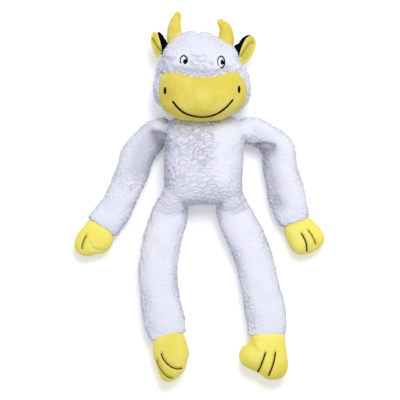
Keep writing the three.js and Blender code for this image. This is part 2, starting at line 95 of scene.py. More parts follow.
def smooth(points, count, closed=False):
    """A curve through all points, with count places at even steps along it.

    Between two points runs a cubic. At a point its direction is the slope before it, less the slope
    across it, plus the slope after it, where each slope is a distance over the root of a length.
    """
    points = np.asarray(points, float)
    if closed:
        points = np.vstack([points[-1], points, points[:2]])
    else:
        points = np.vstack([2 * points[0] - points[1], points, 2 * points[-1] - points[-2]])
    steps = np.diff(points, axis=0)
    spans = np.sqrt(np.linalg.norm(steps[:, :2], axis=1))[:, None]
    slopes = steps / spans
    across = (steps[:-1] + steps[1:]) / (spans[:-1] + spans[1:])
    directions = slopes[:-1] - across + slopes[1:]
    start, end, span = points[1:-2], points[2:-1], spans[1:-1]
    t = np.linspace(0, 1, FINE_STEPS, endpoint=False)[None, :, None]
    start, end, leave, arrive = (part[:, None] for part in (
        start, end, directions[:-1] * span, directions[1:] * span))
    curve = (2 * t**3 - 3 * t**2 + 1) * start + (t**3 - 2 * t**2 + t) * leave
    curve = curve + (3 * t**2 - 2 * t**3) * end + (t**3 - t**2) * arrive
    curve = curve.reshape(-1, points.shape[1])
    curve = np.vstack([curve, curve[0] if closed else points[-2]])
    lengths = np.append(0, np.cumsum(np.linalg.norm(np.diff(curve[:, :2], axis=0), axis=1)))
    wanted = np.linspace(0, lengths[-1], count, endpoint=not closed)
    return np.stack([np.interp(wanted, lengths, column) for column in curve.T], -1)


def outline(pixels, count, grow=0.0):
    """A closed outline in metres, anticlockwise, moved outwards by grow."""
    edge = smooth(place(pixels), count, closed=True)
    after, before = np.roll(edge, -1, axis=0), np.roll(edge, 1, axis=0)
    if np.sum(edge[:, 0] * after[:, 1] - after[:, 0] * edge[:, 1]) < 0:
        return outline(pixels[::-1], count, grow)
    along = after - before
    along /= np.linalg.norm(along, axis=1)[:, None]
    return edge + grow * np.stack([along[:, 1], -along[:, 0]], -1)


print("one pixel is", round(PIXEL / MM, 3), "mm")

# %% [markdown]
# ## Closed surfaces on a grid
#
# Every form is a stack of rings with a pole at each end. One parameter runs round the ring and the other
# from pole to pole, so a whole form is one numpy array. A mesh could be modelled by hand, but the array
# can be grown, bent and measured as a whole.

# %% Grids and meshes
SIDES, RINGS = 120, 36


def skin(rings):
    """Points and faces of a closed surface: rings of points, whose first and last close in a pole."""
    count, sides = rings.shape[:2]
    points = np.vstack([rings[0].mean(0), rings.reshape(-1, 3), rings[-1].mean(0)])
    ring, side = np.meshgrid(np.arange(count - 1), np.arange(sides), indexing="ij")
    here, there = 1 + ring * sides + side, 1 + ring * sides + (side + 1) % sides
    quads = np.stack([here, there, there + sides, here + sides], -1).reshape(-1, 4)
    low, high = 1 + np.arange(sides), 1 + (np.arange(sides) + 1) % sides
    top = (count - 1) * sides
    caps = np.vstack([np.stack([np.zeros_like(low), high, low], -1),
                      np.stack([np.full_like(low, top + sides + 1), low + top, high + top], -1)])
    return points, quads, caps


def add(name, mesh):
    """An object at the origin for a mesh, with smooth shading."""
    piece = bpy.data.objects.new(name, mesh)
    bpy.context.scene.collection.objects.link(piece)
    mesh.shade_smooth()
    return piece


def shell(name, *forms):
    """A piece of one or more closed forms, each a stack of rings."""
    points, faces, offset = [], [], 0
    for corners, quads, caps in map(skin, forms):
        points.append(corners)
        faces += (quads + offset).tolist() + (caps + offset).tolist()
        offset += len(corners)
    mesh = bpy.data.meshes.new(name)
    mesh.from_pydata(np.vstack(points).tolist(), [], faces)
    mesh.update()
    return add(name, mesh)


def read(piece):
    """Places and normals of a piece's mesh, as two arrays of rows of three."""
    mesh = piece.data
    places = np.empty(3 * len(mesh.vertices), np.float32)
    normals = np.empty_like(places)
    mesh.vertices.foreach_get("co", places)
    mesh.vertex_normals.foreach_get("vector", normals)
    return places.reshape(-1, 3).astype(float), normals.reshape(-1, 3).astype(float)


def write(piece, places, **marks):
    """Puts places back into a piece's mesh, and each mark as a number kept at its vertices."""
    mesh = piece.data
    mesh.vertices.foreach_set("co", np.asarray(places, np.float32).ravel())
    for name, values in marks.items():
        mesh.attributes.new(name, "FLOAT", "POINT").data.foreach_set(
            "value", np.asarray(values, np.float32))
    mesh.update()


print("a form of", RINGS, "rings of", SIDES, "points has", (RINGS + 1) * SIDES, "faces")

# %% [markdown]
# ## Two stuffed forms
#
# A pillow is what two sewn panels become when they are stuffed: its outline shrinks towards a crown above
# and a back below. A sleeve is a stuffed tube along a path. Both could start as a scaled ball, but the
# outline of a ball never follows the pattern that the cloth was cut to.

# %% Pillow and sleeve
SLEEVE_SIDES, SLEEVE_RINGS, CAP_RINGS = 64, 60, 8
LAST_TURN = 0.02


def turns(count):
    """Angles once round, at even steps."""
    return np.arange(count) * 2 * np.pi / count


def power(values, share):
    """A power that keeps the sign."""
    return np.sign(values) * np.abs(values) ** share


def pillow(edge, middle, seam, crown, back, share, rings=RINGS):
    """Rings of a stuffed pair of panels.

    At the angle a from the seam the outline has shrunk towards the middle to the cosine of a, and has
    risen by the sine of a times the crown, or fallen by the back. A share below one makes it fuller.
    """
    angle = np.linspace(-1, 1, rings + 2)[1:-1] * np.pi / 2
    reach = np.cos(angle) ** share
    lift = power(np.sin(angle), share) * np.where(angle < 0, back, crown)
    flat = middle + reach[:, None, None] * (edge - middle)
    base = seam(flat) if callable(seam) else seam
    height = base + np.broadcast_to(lift[:, None], flat.shape[:2])
    return np.concatenate([flat, height[..., None]], -1)


def sleeve(table, start_cap, end_cap, grow=0.0, end_share=0.45, square=1.0, sides=SLEEVE_SIDES,
           rings=SLEEVE_RINGS):
    """Rings of a stuffed tube, for a table of column, row, half width in pixels, height and half depth.

    A ring is an ellipse across the path. At the start the rings shrink as a ball does, and at the end as
    a blunt cap: the cosine of the angle to a small power. A square share below one flattens the ellipse.
    """
    table = np.asarray(table, float)
    table = np.column_stack([place(table[:, :2]), table[:, 2] * PIXEL, table[:, 3:]])
    path = smooth(table, rings)
    spine = path[:, [0, 1, 3]]
    along = np.gradient(spine, axis=0)
    along /= np.linalg.norm(along, axis=1)[:, None]
    turn = np.linspace(0, np.pi / 2, CAP_RINGS + 1)[1:]
    turn[-1] -= LAST_TURN
    sizes = path[:, [2, 4]] + grow
    spine = np.vstack([spine[0] - along[0] * np.sin(turn[::-1, None]) * (start_cap + grow), spine,
                       spine[-1] + along[-1] * np.sin(turn[:, None]) * end_cap])
    sizes = np.vstack([sizes[0] * np.cos(turn[::-1, None]), sizes,
                       sizes[-1] * np.cos(turn[:, None]) ** end_share])
    along = np.vstack([np.repeat(along[:1], CAP_RINGS, 0), along, np.repeat(along[-1:], CAP_RINGS, 0)])
    aside = np.column_stack([-along[:, 1], along[:, 0], np.zeros(len(along))])
    aside /= np.linalg.norm(aside, axis=1)[:, None]
    up = np.cross(along, aside)
    around = turns(sides)
    ring = (aside[:, None] * power(np.cos(around), square)[:, None] * sizes[:, None, :1]
            + up[:, None] * power(np.sin(around), square)[:, None] * sizes[:, None, 1:])
    return spine[:, None] + ring


def ball(pixels, height, radius, rings=16):
    """Rings of a ball at a pixel: a pillow whose outline is a circle."""
    middle = place(pixels)
    around = turns(SLEEVE_SIDES)
    edge = middle + radius * np.stack([np.cos(around), np.sin(around)], -1)
    return pillow(edge, middle, height, radius, radius, 1, rings)


print("a sleeve of", SLEEVE_RINGS, "rings has", 2 * CAP_RINGS, "more in its caps")

# %% [markdown]
# ## Patterns that are the same in every run
#
# Curls and dimples have to be geometry, because the outline of the fleece shows them. They come from
# numbers scattered in space. A random generator would do, but a number worked out from the place itself
# is the same in every run, and needs no list.

# %% Scattered numbers, soft waves and cells
PRIMES = np.array([73856093, 19349663, 83492791], np.uint64)
SEED_STEP, MIXER, LOW_BITS = 2654435761, np.uint64(2246822519), np.uint64(0xFFFFFFFF)
PAST_ZERO = 4096


def scatter(corners, seed):
    """Three numbers from 0 to 1 for each whole-number corner, mixed from its bits and a seed."""
    x, y, z = ((corners + PAST_ZERO).astype(np.uint64) * PRIMES).T
    keys = x ^ y ^ z ^ np.uint64(seed * SEED_STEP)
    for shift in (np.uint64(15), np.uint64(13)):
        keys ^= keys >> shift
        keys = keys * MIXER & LOW_BITS
    keys ^= keys >> np.uint64(16)
    return np.stack([(keys >> np.uint64(start) & np.uint64(1023)) / 1023 for start in (0, 10, 20)], -1)


def waves(points, size, seed):
    """Three soft waves from -1 to 1, each about size long: corner numbers blended by smooth steps."""
    points = points / size
    base = np.floor(points)
    t = points - base
    t = t * t * (3 - 2 * t)
    total = np.zeros_like(points)
    for corner in np.ndindex(2, 2, 2):
        share = np.prod(np.where(corner, t, 1 - t), axis=1)
        total += share[:, None] * scatter(base + corner, seed)
    return total * 2 - 1


def border_of(points, seed):
    """0 at the border of a cell, and more inside: how much further than the nearest dot the next one is.

    The dots are scattered one to a cube, and the cell of a dot is where it is the nearest.
    """
    base = np.floor(points)
    near = np.full(len(points), 9.0)
    second = near.copy()
    for corner in np.ndindex(3, 3, 3):
        at = base + corner - 1
        distance = np.linalg.norm(at + scatter(at, seed) - points, axis=1)
        second = np.minimum(second, np.maximum(near, distance))
        near = np.minimum(near, distance)
    return second - near


def near_path(points, pixels, count=60):
    """Distance in the plane from each point to a path of pixels, in metres."""
    path = smooth(place(pixels), count)
    away = np.full(len(points), 9.0)
    for spot in path:
        away = np.minimum(away, np.hypot(points[:, 0] - spot[0], points[:, 1] - spot[1]))
    return away


def hump(distance, width):
    """A bell: 1 at no distance, and nearly 0 past twice the width."""
    return np.exp(-(distance / width) ** 2)


def ramp(values, start, length):
    """0 up to start, 1 from start plus length on, and a straight slope between."""
    return np.clip((values - start) / length, 0, 1)


def upward(normals):
    """1 where a surface looks up, and 0 where it looks aside or down."""
    return ramp(normals[:, 2], 0, 0.5)


print("numbers of corner 1 2 3:", scatter(np.array([[1.0, 2.0, 3.0]]), 1).round(2))

# %% [markdown]
# ## Stuffing
#
# A stuffed piece swells until its cloth is tight. Its form could be left as the formula gives it, but real
# cloth has a little more area than the form, and buckles into soft hollows. So the body, limbs, head,
# muzzle, hands and feet each start a little small, get an even net of faces, and are blown up as cloth from
# the inside.

# %% Simulated stuffing
NET = 4 * MM
EXTRA_CLOTH = -0.05
CLOTH_MASS, STRETCH_STIFFNESS, BEND_STIFFNESS, STEPS_A_FRAME = 0.01, 5, 0.05, 5
PRESSURE = 4
LAST_FRAME = 20
SHRUNK = -1.2 * MM


def baked(piece):
    """The piece's mesh with its modifiers applied."""
    graph = bpy.context.evaluated_depsgraph_get()
    mesh = bpy.data.meshes.new_from_object(piece.evaluated_get(graph), depsgraph=graph)
    piece.modifiers.clear()
    old, piece.data = piece.data, mesh
    bpy.data.meshes.remove(old)
    mesh.name = piece.name
    return mesh


def swell(piece, cap):
    """Blows the cloth of a piece up from the inside, and lets no point move further than cap."""
    start, _ = read(piece)
    cloth = piece.modifiers.new("Cloth", "CLOTH")
    settings = cloth.settings
    settings.quality = STEPS_A_FRAME
    settings.mass = CLOTH_MASS
    settings.tension_stiffness = settings.compression_stiffness = STRETCH_STIFFNESS
    settings.shear_stiffness = STRETCH_STIFFNESS
    settings.bending_stiffness = BEND_STIFFNESS
    settings.shrink_min = EXTRA_CLOTH
    settings.use_pressure = True
    settings.uniform_pressure_force = PRESSURE
    settings.effector_weights.gravity = 0
    cloth.point_cache.frame_start, cloth.point_cache.frame_end = 1, LAST_FRAME
    for number in range(1, LAST_FRAME + 1):
        bpy.context.scene.frame_set(number)
    baked(piece)
    end, _ = read(piece)
    bpy.context.scene.frame_set(1)
    moved = end - start
    length = np.linalg.norm(moved, axis=1)[:, None]
    write(piece, start + moved * np.minimum(1, cap / np.maximum(length, 1e-9)))
    return float(length.mean())


def stuffed(name, *forms, net=NET, cap=2.5 * MM, levels=2):
    """A padded piece: forms joined into one net, swelled, and made finer by subdivision."""
    piece = shell(name, *forms)
    remesh = piece.modifiers.new("Net", "REMESH")
    remesh.mode = "VOXEL"
    remesh.voxel_size = net
    baked(piece)
    moved = 0.0
    moved = swell(piece, cap)
    finer = piece.modifiers.new("Finer", "SUBSURF")
    finer.levels = finer.render_levels = levels
    mesh = baked(piece)
    mesh.shade_smooth()
    print(name, "moved", round(moved / MM, 2), "mm,", len(mesh.polygons), "faces")
    return piece


# %% [markdown]
# ## Finishes
#
# A finish is a small program of nodes. It could be clicked together, but maths reads better as maths, so a
# link wraps a socket and adds a Math node for each operator. Everything else comes from one method that
# takes a node's type, its settings and its sockets.

# %% Links and finishes
def rgb(red, green, blue):
    """A colour as it shows on a screen, from 0 to 255, as the light that nodes work with."""
    shown = np.array([red, green, blue]) / 255
    light = np.where(shown <= 0.04045, shown / 12.92, ((shown + 0.055) / 1.055) ** 2.4)
    return (*light.tolist(), 1.0)


def named(sockets, key):
    """The socket with a given name or identifier."""
    return next(s for s in sockets if key in (s.identifier, s.name))


class Link:
    """One output of a node, in an expression."""

    def __init__(self, finish, socket):
        self.finish, self.socket = finish, socket

    def _math(self, operation, first, second):
        return self.finish.node("Math", {"operation": operation}, {0: first, 1: second})

    def __add__(self, other):
        return self._math("ADD", self, other)

    __radd__ = __add__

    def __sub__(self, other):
        return self._math("SUBTRACT", self, other)

    def __rsub__(self, other):
        return self._math("SUBTRACT", other, self)

    def __mul__(self, other):
        return self._math("MULTIPLY", self, other)

    __rmul__ = __mul__


class Finish:
    """A material with one Principled shader, whose plain values are set on its own sockets."""

    def __init__(self, name, **constants):
        self.material = bpy.data.materials.new(name)
        self.material.use_nodes = True
        self.tree = self.material.node_tree
        self.shader = self.tree.nodes["Principled BSDF"]
        for key, value in constants.items():
            self.shader.inputs[key.replace("_", " ")].default_value = value

    def node(self, kind, settings=None, sockets=None, output=0):
        """A node of a type, its settings made first, then values or links for its sockets."""
        made = self.tree.nodes.new("ShaderNode" + kind)
        for key, value in (settings or {}).items():
            setattr(made, key, value)
        for key, value in (sockets or {}).items():
            socket = made.inputs[key] if isinstance(key, int) else named(made.inputs, key)
            if isinstance(value, Link):
                self.tree.links.new(value.socket, socket)
            else:
                socket.default_value = value
        found = made.outputs[output] if isinstance(output, int) else named(made.outputs, output)
        return Link(self, found)

    def noise(self, scale, detail, roughness=0.5, stretch=(1, 1, 1)):
        """Soft cloudy noise in object coordinates, with scale waves to a metre."""
        places = self.node("Mapping", {}, {
            "Vector": self.node("TexCoord", {}, {}, "Object"), "Scale": stretch})
        return self.node("TexNoise", {}, {
            "Vector": places, "Scale": scale, "Detail": detail, "Roughness": roughness})

    def mark(self, name):
        """A number kept at the vertices of the mesh."""
        return self.node("Attribute", {"attribute_name": name}, {}, "Fac")

    def between(self, factor, first, second):
        """A colour that goes from the first to the second."""
        return self.node("Mix", {"data_type": "RGBA"}, {
            "Factor_Float": factor, "A_Color": first, "B_Color": second}, "Result_Color")

    def steps(self, factor, low, high):
        """0 below low, 1 above high, and a smooth step between them."""
        return self.node("MapRange", {"interpolation_type": "SMOOTHSTEP"}, {
            "Value": factor, "From Min": low, "From Max": high})

    def set(self, colour, height, distance, strength, roughness):
        """Links the colour, the roughness, and a bump whose height of one is distance metres."""
        bump = self.node("Bump", {}, {"Height": height, "Distance": distance, "Strength": strength})
        for key, value in (("Base Color", colour), ("Normal", bump), ("Roughness", roughness)):
            self.tree.links.new(value.socket, self.shader.inputs[key])
        return self.material


# %% [markdown]
# ## Curly fleece
#
# Sherpa fleece is a knit whose fibres are teased into short curls. The tips are white, and the valleys
# between them are painted grey and a little violet as painted shade. A bump alone would leave a smooth
# outline, so the curls are geometry. Each vertex keeps a mark from how high it stands, with painted shade
# in the valleys and at the sides, and the nodes add fibres, the tint and painted shade in folds and
# hollows.

# %% Fleece
FIBRE_SCALE, TINT_SCALE = 900, 28
fleece = Finish("curly_fleece", Roughness=0.95, Sheen_Weight=0.25, Sheen_Roughness=0.6,
                Specular_IOR_Level=0.2)
curl = fleece.mark("pile")
fibre = fleece.noise(FIBRE_SCALE, detail=3)
tint = fleece.noise(TINT_SCALE, detail=2)
# painted shade: the valley colour is the grey-violet of shade between the curls
painted_valley_colour = fleece.between(fleece.steps(tint, 0.35, 0.65), rgb(166, 167, 194), rgb(177, 170, 197))
crown = fleece.between(fleece.steps(tint, 0.4, 0.6), rgb(236, 240, 255), rgb(241, 241, 255))
shade = fleece.steps(curl * 0.85 + fibre * 0.3, 0.1, 0.85)
curly = fleece.between(shade, painted_valley_colour, crown)
# painted shade: a dark grey-violet where the mesh marks folds, creases and hollows
fleece_with_painted_shade = fleece.between(fleece.mark("fold"), curly, rgb(120, 118, 138))
FLEECE = fleece.set(fleece_with_painted_shade, fibre + curl * 0.4, distance=0.5 * MM, strength=0.6,
                    roughness=0.98 - curl * 0.12)
print("the fleece is a program of", len(fleece.tree.nodes), "nodes")

# %% [markdown]
# ## Short plush
#
# The muzzle, horns, hands and feet are short yellow plush. Its pile lies one way or the other, which
# makes broad soft patches, and each fibre glitters a little. A flat colour would look like paint.

# %% Plush and velour
PILE_SCALE = 700
SHEEN = {"Sheen_Weight": 0.2, "Sheen_Tint": rgb(250, 240, 190)}


def short_pile(name, deep, plain, bright, patch_scale=34, gloss=0.25, **constants):
    """A cloth of short fibres: patches of lying pile, a fine grain, and painted shade in folds and creases.
    """
    finish = Finish(name, Roughness=0.9, Specular_IOR_Level=gloss, **constants)
    grain = finish.noise(PILE_SCALE, detail=3, roughness=0.6)
    lie = finish.noise(patch_scale, detail=3, roughness=0.55, stretch=(1, 0.7, 1))
    base = finish.between(finish.steps(lie, 0.35, 0.65), plain, bright)
    patches = finish.noise(0.7 * patch_scale, detail=4, roughness=0.6, stretch=(0.6, 1, 1))
    base = finish.between(finish.steps(patches, 0.52, 0.72) * 0.4, base, deep)
    base = finish.between(finish.steps(grain, 0.35, 0.75) * 0.3, base, deep)
    # painted shade: towards the deep colour where the mesh marks furrows, creases, wrinkles and hollows
    folded = finish.between(finish.mark("fold"), base, deep)
    return finish.set(folded, grain + lie * 0.5, distance=0.35 * MM, strength=0.5,
                      roughness=0.8 + grain * 0.2)


MUZZLE = short_pile("muzzle_plush", rgb(206, 178, 56), rgb(228, 210, 88), rgb(238, 225, 118), **SHEEN)
PLUSH = short_pile("yellow_plush", rgb(226, 204, 76), rgb(252, 239, 108), rgb(254, 245, 134), **SHEEN)
EAR_PLUSH = short_pile("ear_plush", rgb(150, 134, 52), rgb(243, 229, 104), rgb(248, 238, 128),
                       patch_scale=60, **SHEEN)
VELOUR = short_pile("black_velour", rgb(1, 1, 2), rgb(5, 5, 7), rgb(11, 11, 15), patch_scale=60,
                    gloss=0.05)
print("short pile:", ", ".join(cloth.name for cloth in (MUZZLE, PLUSH, EAR_PLUSH, VELOUR)))

# %% [markdown]
# ## Thread
#
# Satin stitch is thread laid side by side across a line, so it shows fine ridges. A texture of stripes
# would have to turn with each line, so each vertex keeps where it lies on its strand.

# %% Thread
LINT_SCALE = 1500


def stitches(name, dark, light):
    """Satin stitch: threads side by side across the line, each ridge with a painted highlight and the gaps
    between with painted shade.
    """
    finish = Finish(name, Specular_IOR_Level=0.05)
    strand = finish.mark("strand")
    grain = finish.noise(LINT_SCALE, detail=1)
    # painted highlight on each strand's ridge and painted shade between strands
    colour = finish.between(finish.steps(strand, 0.2, 0.9), dark, light)
    return finish.set(colour, strand + grain * 0.3, distance=0.15 * MM, strength=0.6,
                      roughness=0.7 - strand * 0.15)


THREAD = stitches("black_thread", rgb(1, 1, 2), rgb(7, 7, 9))
WHITE_THREAD = stitches("white_thread", rgb(228, 231, 240), rgb(247, 249, 255))
print("thread:", THREAD.name, WHITE_THREAD.name)

# %% [markdown]
# ## Curls as geometry
#
# Each curl is a cell: the surface stands up between the borders of cells and falls at them. On the
# chest and belly the cells are long, and lie in rows that slope down on both sides of the middle seam.
# Elsewhere they are rounder and lower. Hair strands could do it too, but the exported mesh would lose them.

# %% Curl height
CURL, EDGE_CURL = 4.2 * MM, 4.0 * MM
PUSHES = [(9, 2.2), (3.5, 0.8)]
EDGE_RISE, EDGE_LEVEL, CURL_LEVEL = 1.6 * MM, 0.6, 0.55
LIE_FLAT = 0.3 * MM
FULL_AT, PATH_STEPS = 0.6, 24
BROAD_SHARE, FINE_SHARE, FINE_SIZE = 0.62, 0.38, 0.45
BRUSHED_PATCH, LUMP_LENGTH = 26 * MM, 16 * MM
STANDING, PATCHY, EDGE_PAINTED_SHADE = 0.85, 0.4, 0.7


def curls(points, long=1.0, slope=0.0, seam=None, size=CURL, seed=3):
    """How high the fleece stands, from 0 in the valleys to 1 on the curls.

    The space is first pushed about by soft waves, then cut in cells. The height is the way to the border
    of the cell, rounded as a root does, and a second net of cells half as large roughens it.
    """
    moved = points
    for step, (length, push) in enumerate(PUSHES):
        moved = moved + waves(points, length * MM, seed + step) * push * MM
    x, y, z = moved.T
    if seam is not None:
        x = np.abs(x - seam)
    rows = np.stack([(x * np.cos(slope) - y * np.sin(slope)) / long,
                     x * np.sin(slope) + y * np.cos(slope), z], -1)
    broad = np.sqrt(ramp(border_of(rows / size, seed), 0, FULL_AT))
    fine = np.sqrt(ramp(border_of(moved / (FINE_SIZE * size), seed + 5), 0, FULL_AT))
    return BROAD_SHARE * broad + FINE_SHARE * fine


def press_and_painted_shade_at(points, hollows_and_painted_shade):
    """How deep the cloth sinks in, in metres, and how much painted shade it gets, from a list of entries.

    An entry is a path of pixels, its half width and its depth in millimetres, and its painted shade from 0
    to 1; many entries sink nothing and only paint shade.
    """
    depth, shaded = np.zeros(len(points)), np.zeros(len(points))
    for path, width, deep, shade in hollows_and_painted_shade:
        bell = hump(near_path(points, path, PATH_STEPS), width * MM)
        depth = depth + deep * MM * bell
        shaded = shaded + shade * bell * (1 - shaded)
    return depth, shaded


def tufted(left, points, tufts, share=1.0):
    """Brings the curls back to a share of one along paths of pixels, each with its half width."""
    for path, width in tufts:
        left = np.maximum(left, share * hump(near_path(points, path, PATH_STEPS), width * MM))
    return left


def fleecy(piece, height, painted_valley_shade, calm, hollows_and_painted_shade, long=1.0, slope=0.0, seam=None, lumps=0.8 * MM,
           size=CURL):
    """Raises curls over a piece, with slow lumps under them, and keeps it above the floor.

    Calm is how much of the curls is left at a place, and the valleys get painted shade by the given share.
    At the sides, which make the outline, a finer net of round curls stands out, and the sides get more
    painted shade.
    """
    places, normals = read(piece)
    pile = curls(places, long, slope, seam, size)
    left = calm(places, normals) * (STANDING + PATCHY * waves(places, BRUSHED_PATCH, seed=17)[:, 0])
    slow = waves(places, LUMP_LENGTH, seed=9)[:, 0] * lumps
    aside = 1 - np.abs(normals[:, 2])
    round_curls = curls(places, size=EDGE_CURL, seed=23)
    nubs = (round_curls - EDGE_LEVEL) * 2 * EDGE_RISE * aside**0.5
    deep, shaded = press_and_painted_shade_at(places, hollows_and_painted_shade)
    upper = upward(normals)
    places = places + normals * (height * left * (pile - CURL_LEVEL) + slow + nubs - deep * upper)[:, None]
    places[:, 2] = np.maximum(places[:, 2], LIE_FLAT * pile)
    # painted shade kept in the pile mark: darker valleys, and darker sides between the round curls
    shown = (1 - painted_valley_shade * left * (1 - pile)) * (1 - EDGE_PAINTED_SHADE * aside**1.5 * (1 - round_curls))
    # the second mark is the painted shade of the hollows, on the upper side only
    write(piece, places, pile=shown, fold=shaded * upper)


def finished(piece, material, slot, body, *nodes, fill=None):
    """Gives a piece its finish, puts it on its body or bakes it in place, and hides the solids it stands
    for.
    """
    piece.data.materials.clear()
    piece.data.materials.append(material)
    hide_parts(*nodes)
    if isinstance(body, str):
        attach(piece, body)
    else:
        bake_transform(piece)
    print(piece.name, "of", material.name, "stands for", ", ".join(nodes))


# %% [markdown]
# ## The body
#
# The body is two fleece panels round one filling, with a short stump for each arm and leg and a seam down
# the middle of the front. The seam could be a gap between two pieces, but thread holds the real one shut,
# so it is only a shallow furrow, pulled in once the body has swelled.

# %% Torso
TORSO_PIXELS = [
    [204, 111.5], [186, 113], [176, 117], [167, 123], [162.5, 131], [164.5, 142], [165, 156], [164, 170],
    [164.5, 181], [166, 191], [170, 200], [180, 204.5], [191, 205], [204, 204.5], [217, 205], [228, 204.5],
    [238, 200], [241.5, 190], [241, 178], [243, 165], [243, 153], [245, 141], [246, 131], [241, 123],
    [232, 117], [222, 113]]
TORSO_MIDDLE = place([204, 165])
TORSO_SEAM, TORSO_CROWN, TORSO_BACK = 22 * MM, 46 * MM, 22.5 * MM
FRONT_SEAM = place([211.5, 160])[0]

STUMPS = [
    ([[165, 131, 12.6, 24, 18], [160, 131.5, 13.2, 22.5, 18.4], [156, 133.5, 13.6, 21.5, 18.2]], 4 * MM),
    ([[244, 131, 12.6, 24, 18], [249, 131.5, 13.2, 22.5, 18.4], [253, 132.8, 13.6, 21.5, 18.2]], 4 * MM),
    ([[180, 187, 12, 35, 21], [175.8, 197, 14.6, 29.5, 20.5], [172.8, 207, 16, 21, 19.6]], 3 * MM),
    ([[226, 187, 12, 35, 21], [229.8, 197, 14.6, 29.5, 20.5], [231.7, 205, 15.6, 21, 19.6]], 3 * MM)]
# each entry sinks the cloth by its depth in mm and paints shade by its last number: under the shoulder, at
# the armpits and crotch
SHOULDER_FOLD_AND_PAINTED_SHADE = [([[153, 132], [159, 132.5], [164, 135]], 4.5, 1.4, 0.7),
                 ([[156.5, 138], [160.5, 143], [163.5, 149]], 8, 1.2, 0.72)]
TORSO_HOLLOWS_AND_PAINTED_SHADE = SHOULDER_FOLD_AND_PAINTED_SHADE + [
    ([[170, 129], [178, 132], [190, 130]], 7, 0, 0.2), ([[165, 146], [164, 165]], 4, 0.5, 0.1),
    ([[245, 137], [244.5, 144]], 3, 1.2, 0.2), ([[190, 205], [204, 203.5], [216, 205]], 7, 0, 0.3),
    ([[184, 203], [187, 210]], 3.5, 1.2, 0.25), ([[221, 203], [218, 209]], 3.5, 1.2, 0.25)]
HIP_TUFTS = [([[164, 201], [173, 206], [183, 207]], 7), ([[222, 206], [231, 206], [240, 203]], 6),
             ([[188, 203], [202, 204], [218, 203]], 4)]
BRUSHED = 0.6
IN_MM = [1, 1, 1, MM, MM]

torso_rings = pillow(outline(TORSO_PIXELS, SIDES, SHRUNK), TORSO_MIDDLE, TORSO_SEAM,
                     TORSO_CROWN + SHRUNK, TORSO_BACK + SHRUNK, share=0.74)
stump_rings = [sleeve(np.array(rows) * IN_MM, 10 * MM, cap, grow=SHRUNK, end_share=0.7, rings=20)
               for rows, cap in STUMPS]
torso = stuffed("torso", torso_rings, *stump_rings)


def furrowed(piece, distance, width, depth):
    """Pulls the upper side of a piece in along a seam, by a bell of the distance from it."""
    places, normals = read(piece)
    pull = depth * hump(distance(places), width) * upward(normals)
    write(piece, places - normals * pull[:, None])


def brushed_chest(at, normals):
    """Less curl on the upper left of the chest, on the stumps and at the crotch, but tufts at the hips."""
    side = ramp(at[:, 0], FRONT_SEAM, 14 * MM)
    high = ramp(at[:, 1], level(192), 26 * MM)
    low = ramp(-at[:, 1], -level(198), 8 * MM)
    outside = ramp(np.abs(at[:, 0] - TORSO_MIDDLE[0]), 51 * MM, 5 * MM)
    left = (1 - BRUSHED * side * high) * (1 - BRUSHED * low) * (1 - BRUSHED * outside)
    return tufted(left, at, HIP_TUFTS, 0.6)


furrowed(torso, lambda at: np.abs(at[:, 0] - FRONT_SEAM - waves(at, 12 * MM, seed=4)[:, 1] * MM),
         width=3 * MM, depth=0.6 * MM)
fleecy(torso, height=3.8 * MM, painted_valley_shade=1.05, calm=brushed_chest, hollows_and_painted_shade=TORSO_HOLLOWS_AND_PAINTED_SHADE, long=2.7,
       slope=0.45, seam=FRONT_SEAM, size=4.3 * MM)
finished(torso, FLEECE, "white_fleece", "torso", "torso_front_cover", "torso_back_cover", "torso_filling",
         fill=0.7)

# %% [markdown]
# ## Arms and legs
#
# Each limb is one long stuffed sleeve that bends at the elbow or the knee. It could be cut in two at the
# joint, but the real cloth isn't, so it is one mesh that stands for the solids of both bodies. The span of
# its joint is worked out, but the mesh is only baked where it lies.

# %% Limbs
ARM_HEIGHTS = np.array([22.5, 20.5, 18.5, 17.5, 17.5, 17.5, 17.5]) * MM
ARM_DEPTHS = np.array([16, 18, 18, 18, 18, 18, 15.2]) * MM
LEG_HEIGHTS = np.array([20, 20, 19.5, 19.5, 19.5, 19.5, 19.5]) * MM
LEG_DEPTHS = np.array([16, 19.4, 20, 20, 20, 20, 17]) * MM
RIGHT_ARM = [[162, 131.5, 12], [154.5, 135.8, 13.4], [146.8, 143.3, 14.6], [139.4, 154, 16.2],
             [129.4, 178, 15.5], [117, 204, 15.5], [103, 223.8, 16.2]]
LEFT_ARM = [[247, 131.5, 12], [255, 133, 13.4], [266, 139, 12.8], [276.8, 149, 16], [281, 171, 17.1],
            [288, 197, 17.7], [294.8, 219.8, 14.8]]
RIGHT_LEG = [[172.8, 203, 14.2], [170.6, 214, 16.9], [162, 245, 18.9], [158.6, 270, 19.3],
             [159.4, 293, 18.8], [162.3, 314, 19.4], [167, 334, 18.2]]
LEFT_LEG = [[231, 203, 14.2], [232.8, 214, 16.7], [248, 246, 18.6], [256.3, 270, 19], [262.3, 293, 18.8],
            [267.2, 314, 19.2], [267.4, 333.5, 18.3]]
